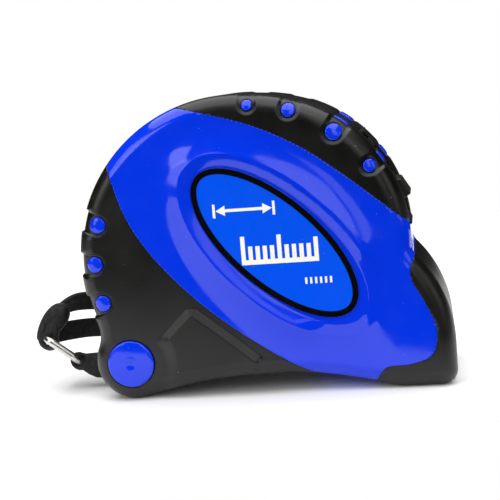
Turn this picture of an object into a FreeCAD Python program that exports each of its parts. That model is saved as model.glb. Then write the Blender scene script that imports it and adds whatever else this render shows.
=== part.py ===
"""Pocket tape measure, 7.5 m x 25 mm, as an assembly of separate pieces.

Frame: +X towards the mouth, +Y towards the belt clip, +Z up, in millimetres.
The origin is on the resting plane, under the middle of the case.
"""
import FreeCAD, Part
import math
import os

import Sketcher
from FreeCAD import Placement, Rotation, Vector

DIMENSIONS = [
    # case outline, side view (X, Z)
    ("back_x", -5.5), ("back_z", 32.6), ("back_radius", 38.5),
    ("brow_x", -0.8), ("brow_z", 34.6), ("brow_radius", 35.9),
    ("crown_radius", 60.0),
    ("chin_x", 13.5), ("chin_z", 10.2), ("chin_radius", 30.4),
    ("neck_radius", 4.0), ("waist_radius", 8.0),
    ("lobe_x", -33.2), ("lobe_radius", 9.2),
    ("toe_radius", 3.7), ("heel_radius", 15.0),
    ("arch_radius", 105.0), ("arch_height", 4.7),
    # case, across the width (Y, measured from the parting plane)
    ("face_half", 17.0), ("shoulder_radius", 3.2),
    ("grip_skin", 1.2), ("grip_face_skin", 1.0), ("wall", 1.8),
    ("boss_half", 18.6), ("boss_long", 33.0), ("boss_short", 18.0), ("boss_edge", 1.2),
    ("label_x", 3.7), ("label_z", 36.4), ("label_tilt", 44.0),
    ("label_long", 23.9), ("label_short", 10.65), ("label_recess", 0.7),
    ("label_thick", 0.35), ("label_gap", 0.1),
    ("rib_inset", 0.6), ("cap_hole_deep", 5.0),
    # how far cutting tools run past what they cut, and the usual gap between fitted pieces
    ("trim_over", 1.0), ("tool_over", 5.0), ("tool_tall", 10.0), ("fit_gap", 0.05), ("seat_gap", 0.02),
    ("end_gap", 0.1),
    # accent pips, which are part of the shells
    ("pip_radius", 1.95), ("pip_inset", 4.1), ("pip_first_angle", 162.5), ("pip_step_angle", 15.9),
    ("groove_radius", 3.2), ("groove_depth", 0.7),
    # reel
    ("reel_x", -4.0), ("reel_z", 36.2),
    ("axle_radius", 3.5), ("axle_half", 15.3), ("axle_slot", 1.2),
    ("running_gap", 0.1), ("socket_radius", 6.0), ("socket_inner", 13.0),
    ("drum_radius", 19.0), ("drum_rim", 1.3), ("drum_half", 12.6), ("drum_web", 1.4),
    ("coil_radius", 27.0), ("blade_width", 25.0),
    ("spring_thick", 0.45), ("spring_clearance", 1.2), ("spring_turns", 7.0), ("spring_half", 10.8),
    # blade, hook and mouth
    ("blade_z", 9.05), ("blade_thick", 0.3), ("blade_sag", 2.0), ("blade_tail_sag", 0.05),
    ("blade_tail_x", -2.0), ("blade_curl_x", 10.0), ("blade_tip_x", 42.2),
    ("hook_thick", 1.2), ("hook_face_x", 42.4), ("hook_low_z", 1.0), ("hook_width", 20.0),
    ("hook_tab_width", 15.0), ("hook_tab_x", 33.0), ("hook_tab_thick", 1.0), ("hook_float", 1.0),
    ("hook_gap", 0.1), ("hook_overlap", 0.4), ("hook_rise", 2.2),
    ("rivet_radius", 1.2), ("rivet_head", 2.0), ("rivet_first_x", 35.3), ("rivet_pitch", 4.0),
    ("rivet_side", 4.0), ("rivet_rise", 0.55), ("rivet_head_tall", 0.6), ("rivet_gap", 0.03),
    ("mouth_x", 36.0), ("mouth_long", 12.0), ("mouth_half", 13.2), ("mouth_low_z", 6.7), ("mouth_high_z", 12.6),
    ("notch_x", 41.8), ("notch_long", 8.0), ("notch_half", 11.6),
    ("guide_x", 32.7), ("guide_long", 7.1), ("guide_top_z", 6.6), ("guide_half", 12.4),
    ("bumper_long", 2.2), ("bumper_half", 4.0), ("bumper_low_z", 2.3), ("bumper_tall", 3.4),
    ("bumper_seat_over", 0.3),
    # thumb lock, in its own frame: along the track, and out of the case
    ("lock_angle", 59.0), ("track_level", 32.6), ("track_half", 6.4), ("track_start", -8.0),
    ("track_long", 40.0),
    ("lock_travel", 6.0), ("button_start", -6.0), ("button_long", 16.3), ("button_half", 6.0),
    ("button_tall", 2.3), ("button_gap", 0.2), ("ledge_long", 4.2), ("ledge_tall", 1.1),
    ("button_chamfer", 0.8), ("ledge_slope", 1.0),
    ("ridge_start", 1.6), ("ridge_count", 5), ("ridge_pitch", 1.9), ("ridge_cut", 0.8), ("ridge_depth", 0.5),
    ("stem_start", -1.0), ("stem_long", 4.0), ("stem_half", 3.0), ("stem_low", 30.65),
    ("stem_overlap", 0.5),
    ("pad_start", -8.5), ("pad_long", 24.0), ("pad_low", 31.0), ("pad_tall", 4.0), ("pad_half", 8.0),
    ("slide_gap", 0.3), ("plate_low", 28.4), ("plate_start", -3.0), ("plate_end", 5.6), ("plate_bend", 4.0),
    ("arm_x", 24.7), ("arm_thick", 3.0), ("arm_foot_z", 15.0), ("wedge_reach", 5.4), ("wedge_tall", 2.6),
    ("arm_half", 4.6), ("arm_chamfer", 2.6), ("wedge_slope", 5.0), ("arm_toe_x", 1.0), ("arm_toe_z", 3.0),
    # fasteners
    ("screw_radius", 1.25), ("screw_gap", 0.05), ("screw_boss", 2.8), ("screw_head", 2.8),
    ("screw_seat_y", 15.2), ("screw_head_tall", 1.5), ("screw_tip_y", -11.0), ("screw_tip_gap", 0.5),
    ("screw_head_gap", 0.1), ("screw_bore_long", 25.0), ("screw_overlap", 0.5),
    ("drive_long", 4.0), ("drive_wide", 0.8), ("drive_floor", 0.9),
    # belt clip
    ("clip_x", 2.0), ("clip_width", 20.0), ("clip_thick", 1.1), ("clip_seat_y", 18.65),
    ("clip_low_z", 43.0), ("clip_bend_z", 57.0), ("clip_reach", 6.4), ("clip_end_z", 13.0),
    ("clip_toe", 3.0), ("clip_lean", 1.2), ("clip_hole_gap", 0.15),
    ("clip_access_start", 4.0), ("clip_access_deep", 6.0),
    ("clip_screw_z", 49.0), ("clip_screw_radius", 1.4), ("clip_screw_head", 3.0),
    ("clip_screw_tip_y", 13.4), ("clip_access_radius", 3.8), ("clip_head_side", 1.1), ("clip_head_tall", 1.7),
    ("clip_head_edge", 0.3), ("clip_head_slope", 1.2),
    # strap anchor and strap
    ("pin_radius", 1.6), ("pin_half", 15.4), ("pin_gap", 0.05), ("pin_boss", 3.2), ("pin_boss_y", 3.8),
    ("slot_x", -48.0), ("slot_long", 12.0), ("slot_half", 3.4), ("slot_low_z", 3.0), ("slot_high_z", 10.6),
    ("cap_radius", 5.6), ("cap_gap", 0.15), ("cap_edge_y", 17.1), ("cap_crown_y", 17.9),
    ("cap_seat_gap", 0.03),
    ("tab_half", 2.8), ("tab_thick", 3.0), ("tab_end_x", -51.0), ("tab_end_z", 6.6),
    ("tab_pin_fold", 1.5), ("tab_link_fold", 1.35), ("tab_pin_gap", 0.1),
    ("wire_radius", 0.95), ("wire_gap", 0.2), ("link_wide", 10.2), ("link_corner", 1.9),
    ("link_end_x", -58.6), ("link_end_z", 12.4),
    ("strap_width", 5.0), ("sewn_fold", 1.75), ("sewn_over", 0.6), ("sewn_shift", 0.4), ("sewn_end_gap", 0.95),
]

# Direction of the folds that hold the link, square to the link, and so that of its short sides.
FOLD_AXIS = Vector(-0.2100, 0.9382, -0.2752)

# Wrist strap loop: the middle line of the webbing, from the sewn end, down behind the case,
# along the resting plane and back to the sewn end.
STRAP_ROUTE = [
    (-56.6, 3.2, 19.3), (-55.2, 8.8, 20.2), (-51.8, 15.6, 19.6), (-46.0, 22.5, 17.6),
    (-37.0, 27.2, 13.4), (-26.5, 29.2, 8.4), (-15.0, 29.6, 4.4), (-3.0, 29.3, 2.7),
    (8.5, 29.0, 2.6), (19.5, 29.9, 2.6), (28.8, 33.2, 2.6), (34.8, 39.6, 2.6),
    (37.0, 48.0, 2.6), (34.8, 56.4, 2.6), (28.6, 62.6, 2.6), (19.6, 65.2, 2.6),
    (8.5, 64.2, 2.6), (-3.0, 60.8, 2.6), (-14.0, 55.6, 2.8), (-24.5, 48.8, 3.8),
    (-34.0, 40.6, 5.8), (-42.3, 31.4, 8.2), (-48.6, 21.8, 10.8), (-53.4, 12.4, 12.8),
    (-56.8, 3.2, 13.7),
]

doc = FreeCAD.newDocument("tape_measure")
dims = doc.addObject("Spreadsheet::Sheet", "dims")
for row, (alias, number) in enumerate(DIMENSIONS, start=1):
    dims.set(f"A{row}", alias)
    dims.set(f"B{row}", str(number))
    dims.setAlias(f"B{row}", alias)
doc.recompute()

nodes = []


def size(alias):
    """Value of one driving dimension."""
    return float(getattr(dims, alias))


def node(feature, label):
    """Name a finished sub-part and keep it for export."""
    feature.Label = label
    nodes.append(feature)
    return feature


# ---------------------------------------------------------------- small builders

def bind(feature, **expressions):
    """Bind properties to expressions; a double underscore stands for a dot."""
    for name, expression in expressions.items():
        feature.setExpression(name.replace("__", "."), str(expression))
    return feature


def box(name, length, width, height, x, y, z):
    """Part::Box whose sizes and low corner are expressions."""
    feature = doc.addObject("Part::Box", name)
    return bind(feature, Length=length, Width=width, Height=height,
                Placement__Base__x=x, Placement__Base__y=y, Placement__Base__z=z)


def rod(name, radius, length, x, y, z):
    """Part::Cylinder that runs along +Y from (x, y, z)."""
    feature = doc.addObject("Part::Cylinder", name)
    feature.Placement = Placement(Vector(0, 0, 0), Rotation(Vector(1, 0, 0), -90))
    return bind(feature, Radius=radius, Height=length,
                Placement__Base__x=x, Placement__Base__y=y, Placement__Base__z=z)


def post(name, radius, height, x, y, z):
    """Part::Cylinder that runs along +Z from (x, y, z)."""
    feature = doc.addObject("Part::Cylinder", name)
    return bind(feature, Radius=radius, Height=height,
                Placement__Base__x=x, Placement__Base__y=y, Placement__Base__z=z)


def lock_box(name, length, width, height, along, y, level):
    """Part::Box in the frame of the thumb lock's track."""
    feature = doc.addObject("Part::Box", name)
    bind(feature, Length=length, Width=width, Height=height)
    corner = track_point(along, level)
    corner.y = y
    feature.Placement = Placement(corner, Rotation(Vector(0, 1, 0), size("lock_angle")))
    return feature


def fuse(name, shapes):
    feature = doc.addObject("Part::MultiFuse", name)
    feature.Shapes = shapes
    feature.Refine = True
    return feature


def cut(name, base, tool):
    feature = doc.addObject("Part::Cut", name)
    feature.Base = base
    feature.Tool = tool
    return feature


def common(name, shapes):
    feature = doc.addObject("Part::MultiCommon", name)
    feature.Shapes = shapes
    return feature


def extrusion(name, profile, side, length):
    """Straight extrusion of a profile in the XZ plane, towards +Y or -Y."""
    feature = doc.addObject("Part::Extrusion", name)
    feature.Base = profile
    feature.DirMode = "Custom"
    feature.Dir = Vector(0, side, 0)
    feature.Solid = True
    return bind(feature, LengthFwd=length)


def profile_face(name, edges):
    """Part::Feature holding a flat face made from a closed chain of edges."""
    feature = doc.addObject("Part::Feature", name)
    feature.Shape = Part.Face(Part.Wire(Part.__sortEdges__(edges)))
    return feature


def rounded(name, base, y, radius):
    """Part::Fillet on every edge that lies in the plane of constant y."""
    doc.recompute()
    edges = []
    for index, edge in enumerate(base.Shape.Edges, start=1):
        if all(abs(vertex.Point.y - y) < 1e-6 for vertex in edge.Vertexes):
            edges.append((index, radius, radius))
    feature = doc.addObject("Part::Fillet", name)
    feature.Base = base
    feature.Edges = edges
    return feature


def new_body(name, label):
    body = doc.addObject("PartDesign::Body", name)
    node(body, label)
    return body


def body_sketch(body, name, role, lift=None):
    """Sketch on one of the body's own origin planes, lifted along its normal."""
    sketch = body.newObject("Sketcher::SketchObject", name)
    plane = next(item for item in body.Origin.OriginFeatures if item.Role == role)
    sketch.AttachmentSupport = [(plane, "")]
    sketch.MapMode = "FlatFace"
    if lift is not None:
        sketch.setExpression("AttachmentOffset.Base.z", lift)
    return sketch


def add_circle(sketch, radius):
    """Circle about the sketch origin, with its radius bound."""
    index = sketch.addGeometry(Part.Circle(Vector(0, 0, 0), Vector(0, 0, 1), 1.0 + sketch.GeometryCount))
    sketch.addConstraint(Sketcher.Constraint("Coincident", index, 3, -1, 1))
    row = sketch.addConstraint(Sketcher.Constraint("Radius", index, 1.0 + index))
    sketch.setExpression(f"Constraints[{row}]", radius)


def add_polygon(sketch, points):
    """Closed chain of lines through points (x, y) of the sketch."""
    count = len(points)
    for index, (x, y) in enumerate(points):
        next_x, next_y = points[(index + 1) % count]
        sketch.addGeometry(Part.LineSegment(Vector(x, y, 0), Vector(next_x, next_y, 0)))
    for index in range(count):
        sketch.addConstraint(Sketcher.Constraint("Coincident", index, 2, (index + 1) % count, 1))


def pad(body, sketch, name, length, midplane=False, reverse=False):
    feature = body.newObject("PartDesign::Pad", name)
    feature.Profile = sketch
    feature.setExpression("Length", length)
    feature.Midplane = midplane
    feature.Reversed = reverse
    return feature


def pocket(body, sketch, name, length, midplane=False, reverse=False):
    """Pocket that is checked to have taken material away."""
    doc.recompute()
    before = body.Shape.Volume
    feature = body.newObject("PartDesign::Pocket", name)
    feature.Profile = sketch
    feature.setExpression("Length", length)
    feature.Midplane = midplane
    feature.Reversed = reverse
    doc.recompute()
    if body.Shape.Volume > before - 1e-3:
        raise RuntimeError(f"{name} cuts nothing")
    return feature


def revolve(body, sketch, name):
    """Full turn about the vertical axis of the sketch."""
    feature = body.newObject("PartDesign::Revolution", name)
    feature.Profile = sketch
    feature.ReferenceAxis = (sketch, ["V_Axis"])
    feature.Angle = 360.0
    return feature


def place(body, x="0", y="0", z="0"):
    bind(body, Placement__Base__x=x, Placement__Base__y=y, Placement__Base__z=z)


# ---------------------------------------------------------------- case outline

def point(x, z, y=0.0):
    return Vector(x, y, z)


def meeting_centre(first, second, reach_first, reach_second, low):
    """Point at given distances from two centres: the lower one, or else the one nearer the outside."""
    gap = second.sub(first)
    span = gap.Length
    along = (reach_first ** 2 - reach_second ** 2 + span ** 2) / (2.0 * span)
    rise = math.sqrt(reach_first ** 2 - along ** 2)
    unit = Vector(gap).normalize()
    normal = Vector(-unit.z, 0, unit.x)
    options = [first + unit * along + normal * (turn * rise) for turn in (1, -1)]
    if low:
        return min(options, key=lambda centre: centre.z)
    return max(options, key=lambda centre: abs(centre.x))


def outline_arcs():
    """The outline's arcs in order, each as (centre, radius, whether the case bulges there)."""
    back = point(size("back_x"), size("back_z"))
    brow = point(size("brow_x"), size("brow_z"))
    chin = point(size("chin_x"), size("chin_z"))
    lobe = point(size("lobe_x"), size("lobe_radius"))
    crown_reach = size("crown_radius")
    crown = meeting_centre(back, brow, crown_reach - size("back_radius"),
                           crown_reach - size("brow_radius"), low=True)
    neck = meeting_centre(brow, chin, size("brow_radius") + size("neck_radius"),
                          size("chin_radius") + size("neck_radius"), low=False)
    waist = meeting_centre(back, lobe, size("back_radius") + size("waist_radius"),
                           size("lobe_radius") + size("waist_radius"), low=False)
    arch_z = size("arch_height") - size("arch_radius")
    arch_reach = size("arch_radius") + size("lobe_radius")
    arch = point(lobe.x + math.sqrt(arch_reach ** 2 - (lobe.z - arch_z) ** 2), arch_z)
    heel_reach = size("arch_radius") + size("heel_radius")
    heel = point(arch.x + math.sqrt(heel_reach ** 2 - (size("heel_radius") - arch_z) ** 2),
                 size("heel_radius"))
    toe = point(chin.x + size("chin_radius") - size("toe_radius"), size("toe_radius"))
    return [
        (lobe, size("lobe_radius"), True), (waist, size("waist_radius"), False),
        (back, size("back_radius"), True), (crown, crown_reach, True),
        (brow, size("brow_radius"), True), (neck, size("neck_radius"), False),
        (chin, size("chin_radius"), True), (toe, size("toe_radius"), True),
        (heel, size("heel_radius"), True), (arch, size("arch_radius"), False),
    ]


CHIN, TOE, HEEL = 6, 7, 8


def tangent_point(first, second, inset):
    """Where two neighbouring arcs meet, after both have moved inwards."""
    (centre, radius, bulges), (other, other_radius, other_bulges) = first, second
    if bulges and other_bulges and other_radius > radius:
        centre, radius, other = other, other_radius, centre
    reach = radius - inset if bulges else radius + inset
    return centre + other.sub(centre).normalize() * reach


def outline_edges(inset):
    """Side outline of the case as tangent arcs and lines, moved inwards by inset."""
    arcs = outline_arcs()
    ends = [tangent_point(arc, after, inset) for arc, after in zip(arcs, arcs[1:] + arcs[:1])]
    starts = ends[-1:] + ends[:-1]
    front_x = size("chin_x") + size("chin_radius") - inset
    ends[CHIN], starts[TOE] = point(front_x, size("chin_z")), point(front_x, size("toe_radius"))
    ends[TOE], starts[HEEL] = point(arcs[TOE][0].x, inset), point(arcs[HEEL][0].x, inset)
    edges = []
    for index, (centre, radius, bulges) in enumerate(arcs):
        reach = radius - inset if bulges else radius + inset
        start, end = starts[index], ends[index]
        middle = start.add(end).multiply(0.5).sub(centre).normalize()
        edges.append(Part.Arc(start, centre + middle * reach, end).toShape())
        if index in (CHIN, TOE):
            edges.append(Part.LineSegment(end, starts[index + 1]).toShape())
    return edges


def track_point(along, level):
    """Point in the frame of the lock track, which turns about the brow's centre."""
    angle = math.radians(size("lock_angle"))
    return point(size("brow_x") + along * math.cos(angle) + level * math.sin(angle),
                 size("brow_z") - along * math.sin(angle) + level * math.cos(angle))


def spline_zone(name, curve_points, far_points):
    """Face bounded by a smooth curve and, well outside the case, by straight lines."""
    curve = Part.BSplineCurve()
    curve.interpolate([point(*item) for item in curve_points])
    corners = [point(*curve_points[-1])] + [point(*item) for item in far_points] + [point(*curve_points[0])]
    edges = [curve.toShape()]
    for start, end in zip(corners, corners[1:]):
        edges.append(Part.LineSegment(start, end).toShape())
    return profile_face(name, edges)


def oval_edges(long_radius, short_radius):
    """Ellipse about the label's centre, with its long axis tilted down to the front."""
    ellipse = Part.Ellipse(Vector(0, 0, 0), long_radius, short_radius)
    edge = ellipse.toShape()
    edge.rotate(Vector(0, 0, 0), Vector(1, 0, 0), 90)
    edge.rotate(Vector(0, 0, 0), Vector(0, 1, 0), size("label_tilt"))
    edge.translate(point(size("label_x"), size("label_z")))
    return [edge]


core_profile = profile_face("core_profile", outline_edges(size("grip_skin")))
outer_profile = profile_face("outer_profile", outline_edges(0.0))
cavity_profile = profile_face("cavity_profile", outline_edges(size("grip_skin") + size("wall")))
boss_profile = profile_face("boss_profile", oval_edges(size("boss_long"), size("boss_short")))
recess_profile = profile_face("recess_profile", oval_edges(size("label_long") + size("label_gap"),
                                                           size("label_short") + size("label_gap")))
label_profile = profile_face("label_profile", oval_edges(size("label_long"), size("label_short")))

ZONES = {
    "rear": spline_zone(
        "zone_rear",
        [(-38.5, 66.0), (-34.8, 56.0), (-31.4, 44.6), (-25.9, 35.0), (-14.8, 22.6), (0.7, 10.5), (14.0, 2.6),
         (20.0, -1.0)],
        [(20.0, -10.0), (-60.0, -10.0), (-60.0, 66.0)]),
    "top": spline_zone(
        "zone_top",
        [(-24.0, 70.5), (-11.4, 67.4), (0.8, 63.4), (11.1, 58.0), (19.9, 51.5), (31.1, 42.0), (40.0, 34.4)],
        [(60.0, 34.4), (60.0, 80.0), (-24.0, 80.0)]),
    "front": spline_zone(
        "zone_front",
        [(38.0, 33.6), (35.3, 30.6), (34.3, 26.6), (37.0, 20.6), (39.5, 14.0), (38.2, 7.8), (33.0, 5.8),
         (27.4, 5.2), (24.8, 1.6), (23.6, -2.0)],
        [(23.6, -10.0), (60.0, -10.0), (60.0, 33.6)]),
}


# Angle about the brow's centre, inset from the outline and radius. Each pip leaves rubber
# between itself and its groove, so its inset is more than its radius plus the groove's depth.
BROW_PIPS = [(89.4, 2.15, 1.25), (72.9, 2.5, 1.6), (52.9, 3.1, 1.9), (33.1, 3.1, 1.5)]


def pip_places():
    """Centre (x, z) and radius of each accent pip: three at the back, four along the brow."""
    back_reach = size("back_radius") - size("pip_inset")
    for index in range(3):
        angle = math.radians(size("pip_first_angle") + index * size("pip_step_angle"))
        yield (size("back_x") + back_reach * math.cos(angle), size("back_z") + back_reach * math.sin(angle),
               size("pip_radius"), angle, size("back_x"), size("back_z"), size("back_radius"))
    for angle_degrees, inset, radius in BROW_PIPS:
        angle = math.radians(angle_degrees)
        reach = size("brow_radius") - inset
        yield (size("brow_x") + reach * math.cos(angle), size("brow_z") + reach * math.sin(angle),
               radius, angle, size("brow_x"), size("brow_z"), size("brow_radius"))


SCREW_PLACES = [(-29.5, 55.5), (19.5, 58.0), (36.3, 21.0), (-22.0, 9.5)]


# ---------------------------------------------------------------- case halves

def side_tools(name, side):
    """Everything that is cut out of one half of the case, shells and grips alike."""
    low = 0 if side > 0 else -1
    tools = [
        box(f"{name}_mouth", "dims.mouth_long", "dims.mouth_half", "dims.mouth_high_z - dims.mouth_low_z",
            "dims.mouth_x", f"{low} * dims.mouth_half", "dims.mouth_low_z"),
        box(f"{name}_notch", "dims.notch_long", "dims.notch_half", "dims.mouth_high_z + dims.tool_over",
            "dims.notch_x", f"{low} * dims.notch_half", "-dims.tool_over"),
        box(f"{name}_bumper_seat", "dims.bumper_long + dims.bumper_seat_over",
            "dims.bumper_half + dims.seat_gap", "dims.bumper_tall + 2 * dims.seat_gap",
            "dims.guide_x + dims.guide_long", f"{low} * (dims.bumper_half + dims.seat_gap)",
            "dims.bumper_low_z - dims.seat_gap"),
        box(f"{name}_strap_slot", "dims.slot_long", "dims.slot_half", "dims.slot_high_z - dims.slot_low_z",
            "dims.slot_x", f"{low} * dims.slot_half", "dims.slot_low_z"),
        lock_box(f"{name}_track", "dims.track_long", "dims.track_half", "dims.tool_tall",
                 size("track_start"), low * size("track_half"), size("track_level")),
        lock_box(f"{name}_stem_slot", "dims.stem_long + dims.lock_travel + 2 * dims.slide_gap",
                 "dims.stem_half + dims.slide_gap", "dims.tool_tall", size("stem_start") - size("slide_gap"),
                 low * (size("stem_half") + size("slide_gap")), size("plate_low")),
        rod(f"{name}_pin_bore", "dims.pin_radius + dims.pin_gap", "dims.pin_half + dims.end_gap",
            "dims.lobe_x", f"{low} * (dims.pin_half + dims.end_gap)", "dims.lobe_radius"),
        rod(f"{name}_axle_bore", "dims.axle_radius + dims.fit_gap", "dims.axle_half + dims.fit_gap",
            "dims.reel_x", f"{low} * (dims.axle_half + dims.fit_gap)", "dims.reel_z"),
    ]
    for index, (x, z) in enumerate(SCREW_PLACES):
        if side > 0:
            tools.append(rod(f"{name}_screw_bore_{index}", "dims.screw_radius + dims.screw_gap",
                             "dims.screw_bore_long", x, 0, z))
            tools.append(rod(f"{name}_screw_seat_{index}", "dims.screw_head + dims.screw_head_gap",
                             "dims.screw_bore_long", x, "dims.screw_seat_y", z))
        else:
            tools.append(rod(f"{name}_screw_bore_{index}", "dims.screw_radius + dims.screw_gap",
                             "dims.screw_tip_gap - dims.screw_tip_y", x,
                             "dims.screw_tip_y - dims.screw_tip_gap", z))
    if side > 0:
        tools.append(rod(f"{name}_clip_bore", "dims.clip_screw_radius + dims.screw_gap", "dims.tool_tall",
                         "dims.clip_x", "dims.clip_screw_tip_y - dims.end_gap", "dims.clip_screw_z"))
    return fuse(f"{name}_tools", tools)


def side_ribs(name, side, core):
    """Inner bosses of one half: screw posts, axle socket, pin boss and the pad under the track."""
    low = 0 if side > 0 else -1
    depth = "(dims.face_half - dims.grip_face_skin - dims.rib_inset)"
    ribs = []
    for index, (x, z) in enumerate(SCREW_PLACES):
        ribs.append(rod(f"{name}_post_{index}", "dims.screw_boss", depth, x, f"{low} * {depth}", z))
    socket_long = f"({depth} - dims.socket_inner)"
    socket_y = "dims.socket_inner" if side > 0 else f"-dims.socket_inner - {socket_long}"
    ribs.append(rod(f"{name}_socket", "dims.socket_radius", socket_long, "dims.reel_x", socket_y, "dims.reel_z"))
    boss_long = f"({depth} - dims.pin_boss_y)"
    boss_y = "dims.pin_boss_y" if side > 0 else f"-dims.pin_boss_y - {boss_long}"
    ribs.append(rod(f"{name}_pin_boss", "dims.pin_boss", boss_long, "dims.lobe_x", boss_y, "dims.lobe_radius"))
    block = lock_box(f"{name}_pad_block", "dims.pad_long", "dims.pad_half", "dims.pad_tall",
                     size("pad_start"), low * size("pad_half"), size("pad_low"))
    ribs.append(common(f"{name}_pad", [block, core]))
    return ribs


def make_half(name, side):
    """One half of the case: blue shell with pips, and three rubber grips moulded over it."""
    low = 0 if side > 0 else -1
    core_half = size("face_half") - size("grip_face_skin")
    core = rounded(f"{name}_core",
                   extrusion(f"{name}_core_block", core_profile, side, "dims.face_half - dims.grip_face_skin"),
                   side * core_half, size("shoulder_radius") - size("grip_skin"))
    outer = rounded(f"{name}_outer", extrusion(f"{name}_outer_block", outer_profile, side, "dims.face_half"),
                    side * size("face_half"), size("shoulder_radius"))
    zones = {key: extrusion(f"{name}_zone_{key}", zone, side, "dims.face_half + dims.trim_over")
             for key, zone in ZONES.items()}
    pips = []
    for index, (x, z, radius, *_) in enumerate(pip_places()):
        pips.append(rod(f"{name}_pip_{index}", radius, "dims.face_half", x, f"{low} * dims.face_half", z))
    pip_set = common(f"{name}_pip_set", [fuse(f"{name}_pip_rods", pips), outer])
    field = cut(f"{name}_field", outer, fuse(f"{name}_zones", list(zones.values())))
    boss = rounded(f"{name}_boss", extrusion(f"{name}_boss_block", boss_profile, side, "dims.boss_half"),
                   side * size("boss_half"), size("boss_edge"))
    boss_on_field = common(f"{name}_boss_trim", [
        boss, extrusion(f"{name}_boss_limit", outer_profile, side, "dims.boss_half + dims.trim_over")])
    cavity = extrusion(f"{name}_cavity", cavity_profile, side,
                       "dims.face_half - dims.grip_face_skin - dims.wall")
    skin = cut(f"{name}_skin", fuse(f"{name}_solid", [core, field, pip_set, boss_on_field]), cavity)
    tools = side_tools(name, side)
    shell_tools = [tools]
    if side < 0:
        recess = extrusion(f"{name}_recess", recess_profile, side, "dims.tool_over")
        recess.Placement = Placement(Vector(0, side * (size("boss_half") - size("label_recess")), 0), Rotation())
        shell_tools.append(recess)
    body = fuse(f"{name}_body", [skin] + side_ribs(name, side, core))
    node(cut(f"{name}_shell", body, fuse(f"{name}_shell_tools", shell_tools) if side < 0 else tools),
         f"case_{name}")

    cap_hole = rod(f"{name}_cap_hole", "dims.cap_radius + dims.cap_gap", "dims.cap_hole_deep",
                   "dims.lobe_x", f"{side} * dims.face_half - dims.cap_hole_deep / 2", "dims.lobe_radius")
    grooves = []
    for index, (x, z, radius, angle, centre_x, centre_z, reach) in enumerate(pip_places()):
        away = reach + size("groove_radius") - size("groove_depth")
        grooves.append(rod(f"{name}_groove_{index}", "dims.groove_radius", "dims.face_half",
                           centre_x + away * math.cos(angle), f"{low} * dims.face_half",
                           centre_z + away * math.sin(angle)))
    grip_tools = fuse(f"{name}_grip_tools", [core, pip_set, boss_on_field, tools, cap_hole] + grooves)
    for key, zone in zones.items():
        block = common(f"{name}_{key}_block", [outer, zone])
        node(cut(f"{name}_{key}_grip", block, grip_tools), f"grip_{key}_{name}")


make_half("right", -1)
make_half("left", 1)

label = extrusion("label_plate", label_profile, -1, "dims.label_thick")
label.Placement = Placement(Vector(0, size("label_recess") - size("boss_half"), 0), Rotation())
node(label, "label_right")


# ---------------------------------------------------------------- reel

def make_axle():
    body = new_body("axle", "axle_post")
    sketch = body_sketch(body, "axle_section", "XZ_Plane")
    add_circle(sketch, "dims.axle_radius")
    pad(body, sketch, "axle_rod", "2 * dims.axle_half", midplane=True)
    slot = body_sketch(body, "axle_slot_section", "XZ_Plane")
    half = size("axle_slot") / 2.0
    deep = size("axle_radius") + size("trim_over")
    add_polygon(slot, [(-half, 0), (half, 0), (half, deep), (-half, deep)])
    pocket(body, slot, "axle_slot", "2 * dims.spring_half", midplane=True)
    place(body, "dims.reel_x", "0", "dims.reel_z")


def make_drum():
    body = new_body("drum", "drum")
    sketch = body_sketch(body, "drum_section", "XY_Plane")
    bore = size("axle_radius") + size("running_gap")
    outer = size("drum_radius")
    inner = outer - size("drum_rim")
    half = size("drum_half")
    web = half - size("drum_web")
    add_polygon(sketch, [(bore, web), (inner, web), (inner, -half), (outer, -half), (outer, half), (bore, half)])
    revolve(body, sketch, "drum_turned")
    place(body, "dims.reel_x", "0", "dims.reel_z")


def make_disc(name, label, outer, inner, length, y):
    """Flat ring about the reel's axis, from y towards +Y."""
    body = new_body(name, label)
    sketch = body_sketch(body, f"{name}_section", "XZ_Plane")
    add_circle(sketch, outer)
    add_circle(sketch, inner)
    pad(body, sketch, f"{name}_pad", length, reverse=True)
    place(body, "dims.reel_x", y, "dims.reel_z")


def make_power_spring():
    """Spiral strip of half-turn arcs, clear of the fixed axle and with its outer end at the drum's rim."""
    thick = size("spring_thick")
    first = size("axle_radius") + size("spring_clearance")
    last = size("drum_radius") - size("drum_rim") - size("running_gap") - thick
    pitch = (last - first) / size("spring_turns")
    half_turns = int(2 * size("spring_turns"))
    inside, outside = [], []
    radius, sign, centre = first, 1, 0.0
    for index in range(half_turns):
        for edges, reach in ((inside, radius), (outside, radius + thick)):
            start = point(centre + sign * reach, 0)
            top = point(centre, sign * reach)
            end = point(centre - sign * reach, 0)
            edges.append(Part.Arc(start, top, end).toShape())
        centre += sign * pitch / 2.0
        radius += pitch / 2.0
        sign = -sign
    caps = []
    for index in (0, -1):
        near = inside[index].Vertexes[index].Point
        far = outside[index].Vertexes[index].Point
        caps.append(Part.LineSegment(near, far).toShape())
    face = Part.Face(Part.Wire(Part.__sortEdges__(inside + outside + caps)))
    feature = doc.addObject("Part::Feature", "power_spring")
    feature.Shape = face.extrude(Vector(0, 2 * size("spring_half"), 0))
    feature.Placement = Placement(Vector(size("reel_x"), -size("spring_half"), size("reel_z")), Rotation())
    node(feature, "power_spring")


make_axle()
make_drum()
make_disc("drum_cap", "drum_cap", "dims.drum_radius - dims.drum_rim - dims.fit_gap",
          "dims.axle_radius + dims.running_gap", "dims.drum_web", "-dims.drum_half")
make_disc("blade_coil", "blade_coil", "dims.coil_radius", "dims.drum_radius + dims.fit_gap",
          "dims.blade_width", "-dims.blade_width / 2")
make_power_spring()


# ---------------------------------------------------------------- blade and hook

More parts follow.
